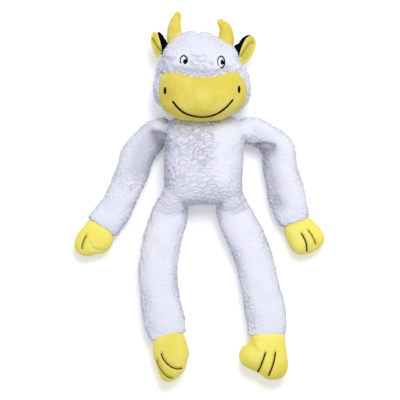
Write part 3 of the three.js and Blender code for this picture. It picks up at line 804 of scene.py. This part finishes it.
# each entry sinks the cloth by its depth in mm and paints shade by its last number; most only paint shade
HOLLOWS_AND_PAINTED_SHADE = {
    "right_arm": SHOULDER_FOLD_AND_PAINTED_SHADE + [
        ([[158, 146], [153, 156], [148, 168]], 9, 0, 0.32),
        ([[150, 134], [141, 148], [135, 170]], 12, 0, 0.28)],
    "left_arm": [
        ([[256, 145.5], [262, 144.5], [269, 144.5], [274, 146]], 3, 3.2, 0.6),
        ([[259, 148], [265, 149], [272, 149]], 6, 1, 0.6), ([[264, 154], [272, 153]], 6, 0, 0.3),
        ([[269, 160], [275, 182], [280, 204]], 11, 0, 0.26),
        ([[255, 133], [266, 139], [275, 149]], 9, 0, 0.14), ([[262, 158], [263, 170]], 6, 0, 0.14)],
    "right_leg": [
        ([[186, 210], [186, 220]], 5, 0.6, 0.2), ([[160, 208], [172, 210], [184, 210]], 7, 0, 0.2)],
    "left_leg": [
        ([[219, 208], [219, 218]], 5, 0.6, 0.28), ([[222, 208], [231, 209], [243, 207]], 6, 0, 0.22)]}
TUFTS = {
    "right_arm": [([[158, 134], [148, 152], [140, 168], [132, 188]], 11)],
    "left_arm": [([[247, 134], [255, 139], [264, 141]], 6),
                 ([[266, 156], [270, 176], [276, 200], [284, 214]], 9)],
    "right_leg": [([[160, 211], [170, 214], [184, 211]], 7), ([[147, 292], [150, 312], [153, 330]], 10)],
    "left_leg": [([[220, 210], [231, 213], [245, 209]], 7), ([[245, 288], [252, 308], [254, 328]], 8)]}
JOINT_ROW, CUFF = 3, 3 * MM
BEND_LENGTH = 26 * MM
LIMB_GROW, LIMB_SQUARE = 0.6 * MM, 0.82


def limb_calm(curly, tufts):
    """Curls brushed flat on top of a sleeve, in patches, which stand at its sides and along its tufts."""
    def calm(at, normals):
        patches = np.clip(0.75 + 1.3 * waves(at, BRUSHED_PATCH, seed=31)[:, 0], 0, 1)
        left = 1 - (1 - curly) * (0.35 + 0.55 * patches) * np.clip(normals[:, 2] * 1.3, 0, 1)
        return tufted(left, at, tufts)

    return calm


def limb(name, rows, heights, depths, cap, upper, lower, height, curly):
    """A stuffed sleeve of fleece from its root to its cuff, standing for the solids of two bodies."""
    table = np.column_stack([rows, heights, depths])
    piece = stuffed(name, sleeve(table, cap, CUFF, LIMB_GROW, square=LIMB_SQUARE))
    fleecy(piece, height, painted_valley_shade=0.9, calm=limb_calm(curly, TUFTS[name]), hollows_and_painted_shade=HOLLOWS_AND_PAINTED_SHADE[name],
           long=1.6, lumps=1.3 * MM)
    joint = np.append(place(rows[JOINT_ROW][:2]), heights[JOINT_ROW])
    before, after = place(rows[JOINT_ROW - 1][:2]), place(rows[JOINT_ROW + 1][:2])
    along = np.append((after - before) / np.linalg.norm(after - before), 0)
    start, end = joint - along * BEND_LENGTH / 2, joint + along * BEND_LENGTH / 2
    nodes = [f"{body}_{part}" for body in (upper, lower) for part in ("cover", "filling")]
    finished(piece, FLEECE, "white_fleece", (upper, lower, tuple(start), tuple(end)), *nodes, fill=0.6)


for side, arm, leg in (("right", RIGHT_ARM, RIGHT_LEG), ("left", LEFT_ARM, LEFT_LEG)):
    limb(f"{side}_arm", arm, ARM_HEIGHTS, ARM_DEPTHS, 14 * MM, f"{side}_upper_arm", f"{side}_forearm",
         height=2.8 * MM, curly=0.35)
    limb(f"{side}_leg", leg, LEG_HEIGHTS, LEG_DEPTHS, 10 * MM, f"{side}_thigh", f"{side}_shin",
         height=2.4 * MM, curly=0.0)

# %% [markdown]
# ## The head
#
# The head is one fleece pillow. Two soft lumps stand on top of it, and over the muzzle the fleece makes a
# brow that droops in the middle. Where the eyes are sewn the curls lie flat, and where the ears are sewn
# the fleece is pressed in. Sculpting by hand could do it, but bells of a distance keep it in few numbers.

# %% Head
HEAD_PIXELS = [
    [200, 33.5], [190, 33.5], [181, 35.5], [174, 39.5], [168.5, 46.5], [164, 54], [160, 62.5], [158, 75],
    [154.5, 87], [155, 96], [158.5, 102], [166, 110], [180, 115], [201, 116.5], [222, 115], [236, 111],
    [246.5, 102], [249.5, 91], [247.3, 77], [241.5, 63], [233.5, 50], [225, 44], [216, 39.5], [208, 35]]
HEAD_MIDDLE = place([201, 68])
HEAD_SEAM, HEAD_CROWN, HEAD_BACK = 40 * MM, 46 * MM, 40.5 * MM
BROW_PIXELS = [
    [161, 70], [172, 70.5], [184, 72], [194, 74.2], [204, 74.6], [214, 73], [226, 69.2], [237, 66]]
EYES = {
    "right": {
        "middle": [183.8, 60.7], "half": (3.3, 4.4), "pupil": [185.1, 62.1], "pupil_half": (2.1, 2.6),
        "glint": [183.7, 60.3], "thin": 0.05,
        "rim": [[180.7, 64.3], [180.4, 61], [181.2, 57.9], [183.6, 56.2], [186, 57.4], [187.2, 59.9],
                [187, 62.5], [185.8, 64.3]]},
    "left": {
        "middle": [221, 62.6], "half": (3.3, 5.6), "pupil": [222.3, 62.7], "pupil_half": (2.0, 2.8),
        "glint": [223.3, 60.8], "thin": 0.15,
        "rim": [[218.7, 66.5], [217.7, 63.3], [217.9, 60.2], [219.2, 57.7], [221, 56.8], [223, 58],
                [224.3, 61], [224.4, 64.1], [223.4, 67], [221.6, 68.2], [220, 67.7]]}}
BROW_RISE, BROW_RAGGED, BROW_WIDTH = 5, 1.6, 6
WRINKLE_WIDTH, WRINKLE_DEPTH = 1.8, 2
WRINKLES = [
    [[190, 63], [195, 66.5], [201, 66], [206, 69.5]], [[196, 61], [201, 62.5], [207, 62], [212, 65]],
    [[187, 68], [192, 71], [198, 70.5], [203, 73]], [[207, 71.5], [212, 70], [217, 71.5], [222, 69]],
    [[171, 66], [176, 68.5], [181, 67.5], [185, 70]], [[226, 66], [230, 67.5], [235, 65.5]],
    [[165, 57], [170, 60], [174, 59]], [[192, 56.5], [198, 57.5], [205, 56.5]]]
FACE_SHADES = [
    ([[176, 69], [186, 70.5], [196, 72], [206, 73], [216, 72], [226, 69]], 4.5, 0, 0.36),
    ([[158, 56], [161, 64], [166, 68]], 10, 0, 0.3), ([[184, 43], [200, 40], [218, 45]], 16, 0, 0.12)]
LUMPS = [([191, 35], 1.8, 7), ([206, 35.5], 1.6, 7), ([198.7, 33], -2.2, 3)]
EAR_SEATS = [([160.5, 57], -2.2, 5), ([241.5, 60], -5.6, 7)]


def eye_calm(at, normals):
    """Brushed flat on the crown of the head, curly at the brow and the sides, and flat under the eyes."""
    low = ramp(-at[:, 1], -level(44), 22 * MM)
    calm = 0.45 + 0.75 * low * upward(normals) + 0.3 * (1 - np.abs(normals[:, 2]))
    for eye in EYES.values():
        away = (at[:, :2] - place(eye["middle"])) / (np.array(eye["half"]) * PIXEL)
        inside = np.clip(2.2 - np.linalg.norm(away, axis=1), 0, 1)
        calm = calm * (1 - 0.85 * inside * (at[:, 2] > HEAD_SEAM))
    return calm


head_rings = pillow(outline(HEAD_PIXELS, SIDES), HEAD_MIDDLE, HEAD_SEAM, HEAD_CROWN + SHRUNK,
                    HEAD_BACK + SHRUNK, share=0.8)
head = stuffed("head", head_rings)
places, normals = read(head)
upper = upward(normals)
ragged = waves(places, 9 * MM, seed=41)[:, 0]
brow = hump(near_path(places, BROW_PIXELS), BROW_WIDTH * MM)
rise = (BROW_RISE + BROW_RAGGED * ragged) * MM * brow * upper
for path in WRINKLES:
    rise = rise - WRINKLE_DEPTH * MM * hump(near_path(places, path), WRINKLE_WIDTH * MM) * upper
for spot, high, width in LUMPS + EAR_SEATS:
    rise = rise + high * MM * hump(np.linalg.norm(places[:, :2] - place(spot), axis=1), width * MM)
write(head, places + normals * rise[:, None])
# the wrinkles and the face shades add painted shade: under the brow, in wrinkles, on the left side, over
# the crown
fleecy(head, height=3 * MM, painted_valley_shade=0.65, calm=eye_calm,
       hollows_and_painted_shade=[(path, WRINKLE_WIDTH, 0, 0.2) for path in WRINKLES] + FACE_SHADES,
       long=2.0, slope=0.1, lumps=1.2 * MM, size=5.4 * MM)
finished(head, FLEECE, "white_fleece", "head", "head_cover", "head_filling", fill=0.8)

# %% [markdown]
# ## The muzzle
#
# The muzzle is a full pillow of short plush that covers the lower half of the face. It could be a bulge of
# the head, but it is cut and sewn on by itself, so it is its own piece: smooth and tight, with a few broad
# dents where the stuffing is uneven.

# %% Muzzle
MUZZLE_PIXELS = [
    [202, 73], [184, 71.5], [166.5, 69.5], [159.7, 76.5], [158, 88], [158, 97], [161, 108], [173, 118],
    [188, 122], [205, 123], [221, 121.5], [236, 114], [245, 105], [248.5, 92], [243, 77], [235, 68.5],
    [220, 72]]
MUZZLE_MIDDLE = place([203, 97])
MUZZLE_SEAM, MUZZLE_CROWN, MUZZLE_BACK = 61 * MM, 44 * MM, 30 * MM
MOUTH_PIXELS = [
    [172.5, 101.5], [178, 108], [184, 113], [191, 115.7], [198, 117], [205, 117.2], [212, 116],
    [218, 113.5], [224, 109.5], [229, 104.5], [233, 99.7]]

muzzle_rings = pillow(outline(MUZZLE_PIXELS, SIDES, -3.6 * MM), MUZZLE_MIDDLE, MUZZLE_SEAM,
                      MUZZLE_CROWN + SHRUNK, MUZZLE_BACK + SHRUNK, share=0.8)
muzzle = stuffed("muzzle", muzzle_rings, levels=1)

DENT_LENGTH, GRAIN_LENGTH, GRAIN = 22 * MM, 5 * MM, 0.12 * MM
ABOVE_FLOOR = 0.05 * MM


def plushy(piece, folds, width, depth, dents=0.7 * MM, hollows_and_painted_shade=()):
    """Soft dents over a plush piece, furrows where thread pulls it in, and painted shade in the
    furrows and along the given paths.
    """
    places, normals = read(piece)
    upper = upward(normals)
    pull, fold = np.zeros(len(places)), np.zeros(len(places))
    for path in folds:
        away = near_path(places, path)
        pull += depth * hump(away, width) * upper
        fold = np.maximum(fold, hump(away, 0.8 * width) * upper)
    slow = waves(places, DENT_LENGTH, seed=6)[:, 0] * dents
    slow += waves(places, GRAIN_LENGTH, seed=7)[:, 0] * GRAIN
    deep, shaded = press_and_painted_shade_at(places, hollows_and_painted_shade)
    places = places + normals * (slow - pull - deep * upper)[:, None]
    places[:, 2] = np.maximum(places[:, 2], ABOVE_FLOOR)
    # painted shade on the upper side, along the stitch furrows and the given paths
    write(piece, places, fold=np.maximum(0.6 * fold, shaded * upper))


plushy(muzzle, [MOUTH_PIXELS], width=1.6 * MM, depth=0.7 * MM)
finished(muzzle, MUZZLE, "yellow_plush", "head", "muzzle_cover", "muzzle_filling", fill=0.9)

# %% [markdown]
# ## Hands and feet
#
# Hands and feet are mitts of plush, sewn into the cuffs of the sleeves. Black stitches pull them in, which
# makes the fingers and toes. Each finger could be a form of its own, but the real ones are only lines on
# one mitt. A ball inside the cuff fills it when the hand turns.

# %% Hands and feet
HAND_SIZES = np.array([18, 17.5, 17.5, 13.6]) * MM
FOOT_SIZES = np.array([22, 21.5, 19.5, 15.8]) * MM
STITCH_WIDTH, STITCH_DEPTH = 2.2 * MM, 2.2 * MM
CREASE_WIDTH, CREASE_DEPTH = 2.4 * MM, 1.8 * MM
MITTS = {
    "right_hand": {
        "outline": [[101, 219.5], [92, 218.5], [84.5, 225], [77.5, 234], [74.5, 242], [75.5, 249.5],
                    [81, 255], [90, 256.5], [97, 254], [104, 253], [110, 248.5], [113.3, 241],
                    [113.5, 234], [112, 226.5], [107.5, 222]],
        "middle": [95, 240], "knob": [101.5, 226.5], "widths": (0.33,),
        "lines": [[[86.4, 235], [84, 239.5], [82.3, 244], [81.8, 249]]],
        "creases": [[[90.5, 243.5], [92, 247.5], [96, 250], [101, 250.5]]]},
    "left_hand": {
        "outline": [[289.5, 218.5], [298, 216], [307.5, 217], [315, 222.5], [321.5, 230], [325, 238],
                    [322.5, 245], [315.5, 250.5], [308, 254], [300, 255], [294, 252.5], [289.5, 246],
                    [286.5, 239], [284, 231], [285, 224]],
        "middle": [304, 238], "knob": [295.5, 222.5],
        "lines": [[[301, 233], [304, 238], [306.3, 244], [307, 252]],
                  [[308, 230], [311.5, 234.5], [314.3, 240], [315.7, 244.5]]],
        "widths": (0.56, 0.26)},
    "right_foot": {
        "outline": [[168.5, 326.5], [160, 330], [153.5, 338], [152.5, 351], [155.5, 363], [158.5, 372],
                    [162, 379], [168, 382], [174, 380], [180.5, 375], [185, 369.5], [187, 361.5],
                    [189.3, 354], [187, 343.5], [183, 334], [176.5, 327.5]],
        "middle": [171, 357], "knob": [166, 337],
        "lines": [[[161, 353], [163, 358.5], [167, 363.5], [172.5, 367.5], [178, 369], [182.3, 368.3]],
                  [[156.6, 360], [159.2, 367], [163.5, 373.5], [168, 377], [172.8, 378.6]]],
        "widths": (0.5, 0.38), "hollows_and_painted_shade": [([[171, 334], [170, 350], [168, 366]], 17, 0, 0.45)]},
    "left_foot": {
        "outline": [[267, 328], [258, 328.5], [252.5, 333], [249.3, 341.8], [243, 346.3], [239.4, 351.5],
                    [239.3, 358.5], [243, 366], [250, 369.7], [258, 373], [264, 377.5], [271, 380],
                    [279, 379], [285, 374.5], [288, 366], [287.3, 356], [286.2, 345], [284, 333.5],
                    [276, 328.5]],
        "middle": [265, 356], "knob": [267.3, 336.5],
        "lines": [[[265.5, 352], [263.6, 358], [260.6, 366], [257.6, 372.5]],
                  [[275.5, 352], [274, 361], [271, 370], [268.5, 376]]],
        "widths": (0.66, 0.66),
        "hollows_and_painted_shade": [([[249, 343], [253, 346], [257, 351]], 3.5, 0.9, 0.35)]}}

mitts = {}
for name, mitt in MITTS.items():
    half, seam, cuff_height, radius = HAND_SIZES if "hand" in name else FOOT_SIZES
    rings = pillow(outline(mitt["outline"], SIDES, SHRUNK), place(mitt["middle"]), seam, half + SHRUNK,
                   half + SHRUNK, share=0.86)
    mitts[name] = stuffed(name, rings, ball(mitt["knob"], cuff_height, radius), net=3 * MM, cap=2 * MM)
    # the stitch lines and the hollows of a mitt also paint shade; down the right foot it is only painted
    # shade
    plushy(mitts[name], mitt["lines"], STITCH_WIDTH, STITCH_DEPTH, dents=0.5 * MM,
           hollows_and_painted_shade=mitt.get("hollows_and_painted_shade", ()))
    for crease in mitt.get("creases", []):
        furrowed(mitts[name], lambda at: near_path(at, crease), CREASE_WIDTH, CREASE_DEPTH)
    finished(mitts[name], PLUSH, "yellow_plush", name, f"{name}_cover", f"{name}_filling", fill=0.8)

# %% [markdown]
# ## Horns
#
# A horn is a bent stuffed cone of the muzzle's plush. It could be swelled too, but it is small and tight,
# so a sleeve with shallow wrinkles across it is enough.

# %% Horns
HORN_RADII = np.array([5, 8, 10, 12]) * MM
HORN_HEIGHTS = np.array([42, 42, 41, 40]) * MM
ACROSS = [0.5, 1.6, 0.5]
HORNS = {"right": [[177.5, 15.8], [174.8, 24], [174.6, 33], [176.5, 44]],
         "left": [[220.5, 22.5], [224.8, 28], [226.3, 36], [225, 46]]}

for side, rows in HORNS.items():
    table = np.column_stack([rows, HORN_RADII / PIXEL, HORN_HEIGHTS, HORN_RADII])
    rings = sleeve(table, start_cap=HORN_RADII[0], end_cap=MM, sides=48, rings=56)
    horn = shell(f"{side}_horn_plush", rings)
    places, normals = read(horn)
    wrinkle = waves(places * ACROSS, 5 * MM, seed=12)[:, 0] * 0.35 * MM
    wrinkle += waves(places, 12 * MM, seed=13)[:, 1] * 0.5 * MM
    # painted shade in the dips of the wrinkles
    write(horn, places + normals * wrinkle[:, None], fold=0.7 * ramp(-wrinkle, 0, MM))
    finished(horn, MUZZLE, "yellow_plush", "head", f"{side}_horn", fill=0.8)

# %% [markdown]
# ## Ears
#
# An ear is a leaf of plush sewn to a leaf of black velour, folded once along its middle. The rim stands up
# and the crease sinks in, with painted shade in it and over the inside of the plush. One sheet with two
# colours could do, but the layers are two pieces of cloth, so each is a thin pillow.

# %% Ears
EAR_BOTTOM, EAR_TOP, EAR_LINING = 36 * MM, 44 * MM, 3 * MM
EAR_BACK = EAR_TOP - EAR_BOTTOM - EAR_LINING
EAR_SIDES, EAR_RINGS = 90, 24
RIM_RISE, RIM_WIDTH = 1.7 * MM, 2.6 * MM
TUFT_LENGTH, TUFT_RISE = 3.2 * MM, 0.9 * MM
CREASE_FALL, CREASE_HALF = 1.8 * MM, 1.6 * MM
INNER_SHADE, EDGE_WIDTH = 0.42, 3.4 * MM
EARS = {
    "right": {
        "back": [[159.5, 31.9], [156.5, 32.8], [153.5, 37.5], [153, 44], [154.8, 50.5], [157.8, 56],
                 [161, 55], [164.5, 52], [166.5, 48.5], [168.4, 45], [166.3, 40.5], [164.5, 38],
                 [162, 34.8]],
        "lining": [[154.6, 31.4], [152, 33.3], [150.8, 38.5], [151.4, 45.5], [154.2, 52.5], [157.5, 58.8],
                   [160.3, 56.3], [161.7, 51], [160.9, 44.5], [159, 38], [157.3, 33]],
        "middle": [159, 44.5], "heart": [156.5, 45],
        "crease": [[152.5, 38.8], [155.5, 43.8], [158.3, 48], [161, 51]]},
    "left": {
        "back": [[248.6, 35.3], [251.2, 36], [253.5, 41.5], [253.8, 47], [251.8, 52.8], [248, 58.5],
                 [243.5, 62], [240, 58.5], [236, 53], [233.6, 47.3], [235.5, 44.8], [238.3, 43.4],
                 [241.6, 39.2], [245.4, 36.1]],
        "lining": [[250.5, 35.9], [253.8, 37.2], [255.9, 41.5], [255.6, 46.8], [253.4, 53.2], [249.7, 59.4],
                   [245.3, 63.2], [242.4, 64], [240.3, 61.3], [239.3, 55.8], [240.9, 49.3], [243.5, 43],
                   [246.6, 38]],
        "middle": [246.5, 49], "heart": [248.5, 50],
        "crease": [[252.3, 43], [249.3, 43.3], [246.3, 47.5], [243, 52], [240.8, 56.5]]}}

for side, ear in EARS.items():
    half = EAR_BACK / 2
    rings = pillow(outline(ear["back"], EAR_SIDES), place(ear["middle"]), EAR_BOTTOM + half, half, half,
                   share=0.7, rings=EAR_RINGS)
    back = shell(f"{side}_ear_velour", rings)
    places, normals = read(back)
    tuft = waves(places, TUFT_LENGTH, seed=21)[:, 0] * TUFT_RISE
    # painted shade between the tufts
    write(back, places + normals * tuft[:, None], fold=ramp(-tuft, 0, MM))
    finished(back, VELOUR, "black_velour", f"{side}_ear", f"{side}_ear_back", fill=0.3)
    half = EAR_LINING / 2
    rings = pillow(outline(ear["lining"], EAR_SIDES), place(ear["heart"]), EAR_TOP - half, half, half,
                   share=0.6, rings=EAR_RINGS)
    lining = shell(f"{side}_ear_plush", rings)
    places, normals = read(lining)
    upper = upward(normals)
    away = near_path(places, ear["crease"])
    edge = near_path(places, ear["lining"] + ear["lining"][:1], EAR_SIDES)
    rim = near_path(places, ear["lining"][:5])
    rise = RIM_RISE * hump(rim, RIM_WIDTH) - CREASE_FALL * hump(away, CREASE_HALF)
    places[:, 2] += rise * upper
    # painted shade: the inside of the lining darker than its rim, and darkest in the crease
    inner = INNER_SHADE * (1 - hump(edge, EDGE_WIDTH))
    write(lining, places, fold=np.maximum(hump(away, 1.4 * MM), inner) * upper)
    finished(lining, EAR_PLUSH, "yellow_plush", f"{side}_ear", f"{side}_ear_lining", fill=0.3)

# %% [markdown]
# ## Embroidery
#
# Eyes, nostrils, mouth, fingers and toes are satin stitch: threads laid side by side across a line. They
# could be painted on the cloth, but thread stands up from it, so each is its own closed strip that lies on
# the cloth under it.

# %% Stitches that lie on the cloth
THREAD_RISE, RIDGE = 0.9 * MM, 0.12 * MM
STRAND, STEPS_A_STRAND = 0.55 * MM, 4
THREAD_SIDES, PATCH_SIDES, PATCH_RINGS = 12, 64, 14
ROUGH_STEPS = 200
REST_WIDTH = 2.0 * MM


def resting(host):
    """A function that gives the height of a piece's upper side at flat places.

    It is a mean of the heights of the vertices near by, weighed by a bell of their distance.
    """
    at, normals = read(host)
    at = at[normals[:, 2] > 0.15]

    def height(flat):
        shape = flat.shape[:-1]
        flat = flat.reshape(-1, 2)
        low, high = flat.min(0) - 3 * REST_WIDTH, flat.max(0) + 3 * REST_WIDTH
        near = at[np.all((at[:, :2] > low) & (at[:, :2] < high), axis=1)]
        total, weight = np.zeros(len(flat)), np.full(len(flat), 1e-12)
        for part in np.array_split(near, max(1, len(near) // 400)):
            bell = hump(np.linalg.norm(flat[:, None] - part[None, :, :2], axis=2), REST_WIDTH)
            total += bell @ part[:, 2]
            weight += bell.sum(1)
        return (total / weight).reshape(shape)

    return height


# %% Ribbons of thread
def ribbon(name, pixels, half_width, host, wide=np.ones_like, raised=0.0):
    """A strip of satin stitch: an oval section carried along a path, ridged once for every strand."""
    rough = smooth(place(pixels), ROUGH_STEPS)
    length = np.linalg.norm(np.diff(rough, axis=0), axis=1).sum()
    count = int(length / STRAND * STEPS_A_STRAND)
    path = smooth(place(pixels), count)
    along = np.gradient(path, axis=0)
    along /= np.linalg.norm(along, axis=1)[:, None]
    aside = np.stack([-along[:, 1], along[:, 0]], -1)
    share = np.linspace(0, 1, count)
    width = half_width * wide(share)
    width = width * np.clip(np.minimum(share, 1 - share) * length / half_width, 0.05, 1) ** 0.5
    strand = 0.5 + 0.5 * np.cos(2 * np.pi * np.arange(count) / STEPS_A_STRAND)
    angle = turns(THREAD_SIDES)
    flat = path[:, None] + aside[:, None] * np.cos(angle)[None, :, None] * width[:, None, None]
    base = resting(host)(path)
    lift = np.sin(angle) * (THREAD_RISE + RIDGE * strand[:, None]) * np.where(np.sin(angle) < 0, 1.5, 1)
    height = base[:, None] + lift * np.minimum(1, width / half_width)[:, None] + raised
    piece = shell(name, np.concatenate([flat, height[..., None]], -1))
    marks = np.concatenate([[0], np.repeat(strand, THREAD_SIDES), [0]])
    write(piece, read(piece)[0], strand=marks)
    print(name, "is", round(length / MM), "mm long")
    return piece


mouth = ribbon("mouth_thread", MOUTH_PIXELS, 1.05 * PIXEL, muzzle)
finished(mouth, THREAD, "black_thread", "head", "mouth_stitch")
for name, mitt in MITTS.items():
    kind = name.split("_")[1]
    for number, line in enumerate(mitt["lines"], 1):
        width = mitt["widths"][number - 1] * PIXEL
        stitch = ribbon(f"{name}_thread_{number}", line, width, mitts[name])
        finished(stitch, THREAD, "black_thread", name, f"{name}_stitch_{number}")

# %% [markdown]
# ## Eyes and nostrils
#
# An eye is a white oval, a black rim that is thicker above and on one side, and a pupil that looks
# inwards. The filled ovals could be ribbons laid side by side, but a low dome with ridges across it looks
# the same and is closed.

# %% Filled ovals of thread
def patch(name, host, *ovals):
    """Filled ovals of satin stitch: low domes that rest on the cloth, each a middle, halves and a rise."""
    around = turns(PATCH_SIDES)
    domes = []
    for middle, half, rise in ovals:
        middle = place(middle)
        edge = middle + np.stack([np.cos(around) * half[0], np.sin(around) * half[1]], -1) * PIXEL
        domes.append(pillow(edge, middle, resting(host), rise, rise, share=0.6, rings=PATCH_RINGS))
    piece = shell(name, *domes)
    places, _ = read(piece)
    # the strand mark drives the bump and the painted highlight and shade of each strand
    write(piece, places, strand=0.5 + 0.5 * np.cos(places[:, 1] * 2 * np.pi / STRAND))
    return piece


# %% Eyes and nostrils
NOSTRILS = {"right": [165.1, 91.2], "left": [238.9, 90]}
NOSTRIL_HALF = (1.4, 3.8)
RIM, GLINT = 0.72, (0.55, 0.8)
WHITE_RISE, RIM_LIFT, PUPIL_RISE, GLINT_RISE, NOSTRIL_RISE = np.array([1.3, 1.1, 2.4, 3.2, 1.1]) * MM


def rim_width(thin):
    """The width of a rim along its path: thin where it starts, full over the top, less at its end."""
    return lambda share: np.interp(share, [0, 0.25, 0.45, 0.8, 1], [0.6 - thin, 0.75 - thin, 1, 1, 0.6])


for side, eye in EYES.items():
    white = patch(f"{side}_eye_white_thread", head, (eye["middle"], eye["half"], WHITE_RISE),
                  (eye["glint"], GLINT, GLINT_RISE))
    finished(white, WHITE_THREAD, "white_thread", "head", f"{side}_eye_white")
    rim = ribbon(f"{side}_eye_rim_thread", eye["rim"], RIM * PIXEL, head, wide=rim_width(eye["thin"]),
                 raised=RIM_LIFT)
    finished(rim, THREAD, "black_thread", "head", f"{side}_eye_outline")
    pupil = patch(f"{side}_eye_pupil_thread", head, (eye["pupil"], eye["pupil_half"], PUPIL_RISE))
    finished(pupil, THREAD, "black_thread", "head", f"{side}_eye_pupil")
    nostril = patch(f"{side}_nostril_thread", muzzle, (NOSTRILS[side], NOSTRIL_HALF, NOSTRIL_RISE))
    finished(nostril, THREAD, "black_thread", "head", f"{side}_nostril")

# %% [markdown]
# ## Floor, light and camera
#
# The toy lies on a white floor under soft light from the right and above its head. The floor could be lit
# until it is white, but that would wash out the fleece, so the floor adds a little white of its own for
# the camera and keeps the shadow.

# %% Stage
FLOOR_HALF, FLOOR_LEVEL = 6.0, -0.2 * MM
FLOOR_GLOW, WORLD_LIGHT = 0.27, 0.54
floor_mesh = bpy.data.meshes.new("floor")
floor_mesh.from_pydata([(FLOOR_HALF * x, FLOOR_HALF * y, FLOOR_LEVEL) for x, y in (
    (-1, -1), (1, -1), (1, 1), (-1, 1))], [], [(0, 1, 2, 3)])
floor = add("floor", floor_mesh)
paper = Finish("white_paper", Roughness=1.0, Specular_IOR_Level=0.0, Emission_Strength=FLOOR_GLOW,
               Base_Color=(0.94, 0.945, 0.97, 1))
seen = paper.node("LightPath", {}, {}, "Is Camera Ray")
glow = paper.between(seen, rgb(0, 0, 0), rgb(255, 255, 255))
paper.tree.links.new(glow.socket, paper.shader.inputs["Emission Color"])
floor.data.materials.append(paper.material)
floor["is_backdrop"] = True

world = bpy.data.worlds.new("studio")
bpy.context.scene.world = world
world.use_nodes = True
background = world.node_tree.nodes["Background"]
background.inputs["Color"].default_value = (1, 1, 1, 1)
background.inputs["Strength"].default_value = WORLD_LIGHT

KEY_PLACE, KEY_WATTS, KEY_SIZE = (0.35, 1.25, 2.55), 42, 1.1
key_data = bpy.data.lights.new("soft_key", "AREA")
key_data.energy, key_data.size = KEY_WATTS, KEY_SIZE
key = bpy.data.objects.new("soft_key", key_data)
bpy.context.scene.collection.objects.link(key)
key.location = KEY_PLACE
key.rotation_euler = (np.arctan2(np.hypot(*KEY_PLACE[:2]), KEY_PLACE[2]), 0,
                      np.arctan2(KEY_PLACE[1], KEY_PLACE[0]) + np.pi / 2)

CAMERA_HEIGHT, PICTURE_PIXELS, SENSOR, FOCUS_HEIGHT = 12.0, 400, 36.0, 0.03
camera_data = bpy.data.cameras.new("camera")
camera = bpy.data.objects.new("camera", camera_data)
bpy.context.scene.collection.objects.link(camera)
camera.location = (*place([PICTURE_PIXELS / 2, PICTURE_PIXELS / 2]), CAMERA_HEIGHT)
camera_data.sensor_width = SENSOR
camera_data.lens = SENSOR * (CAMERA_HEIGHT - FOCUS_HEIGHT) / (PICTURE_PIXELS * PIXEL)
camera_data.clip_start, camera_data.clip_end = 0.1, 50
bpy.context.scene.camera = camera
bpy.context.scene.view_settings.view_transform = "Standard"
print("camera", CAMERA_HEIGHT, "m up with a lens of", round(camera_data.lens), "mm")

# %% [markdown]
# ## Size
#
# The dressed toy is measured as one box round all its shown pieces, leaving out the floor. The dressed
# toy has to stay as large as its solids, apart from what cloth may stand proud.

# %% Size and finish
low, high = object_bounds()
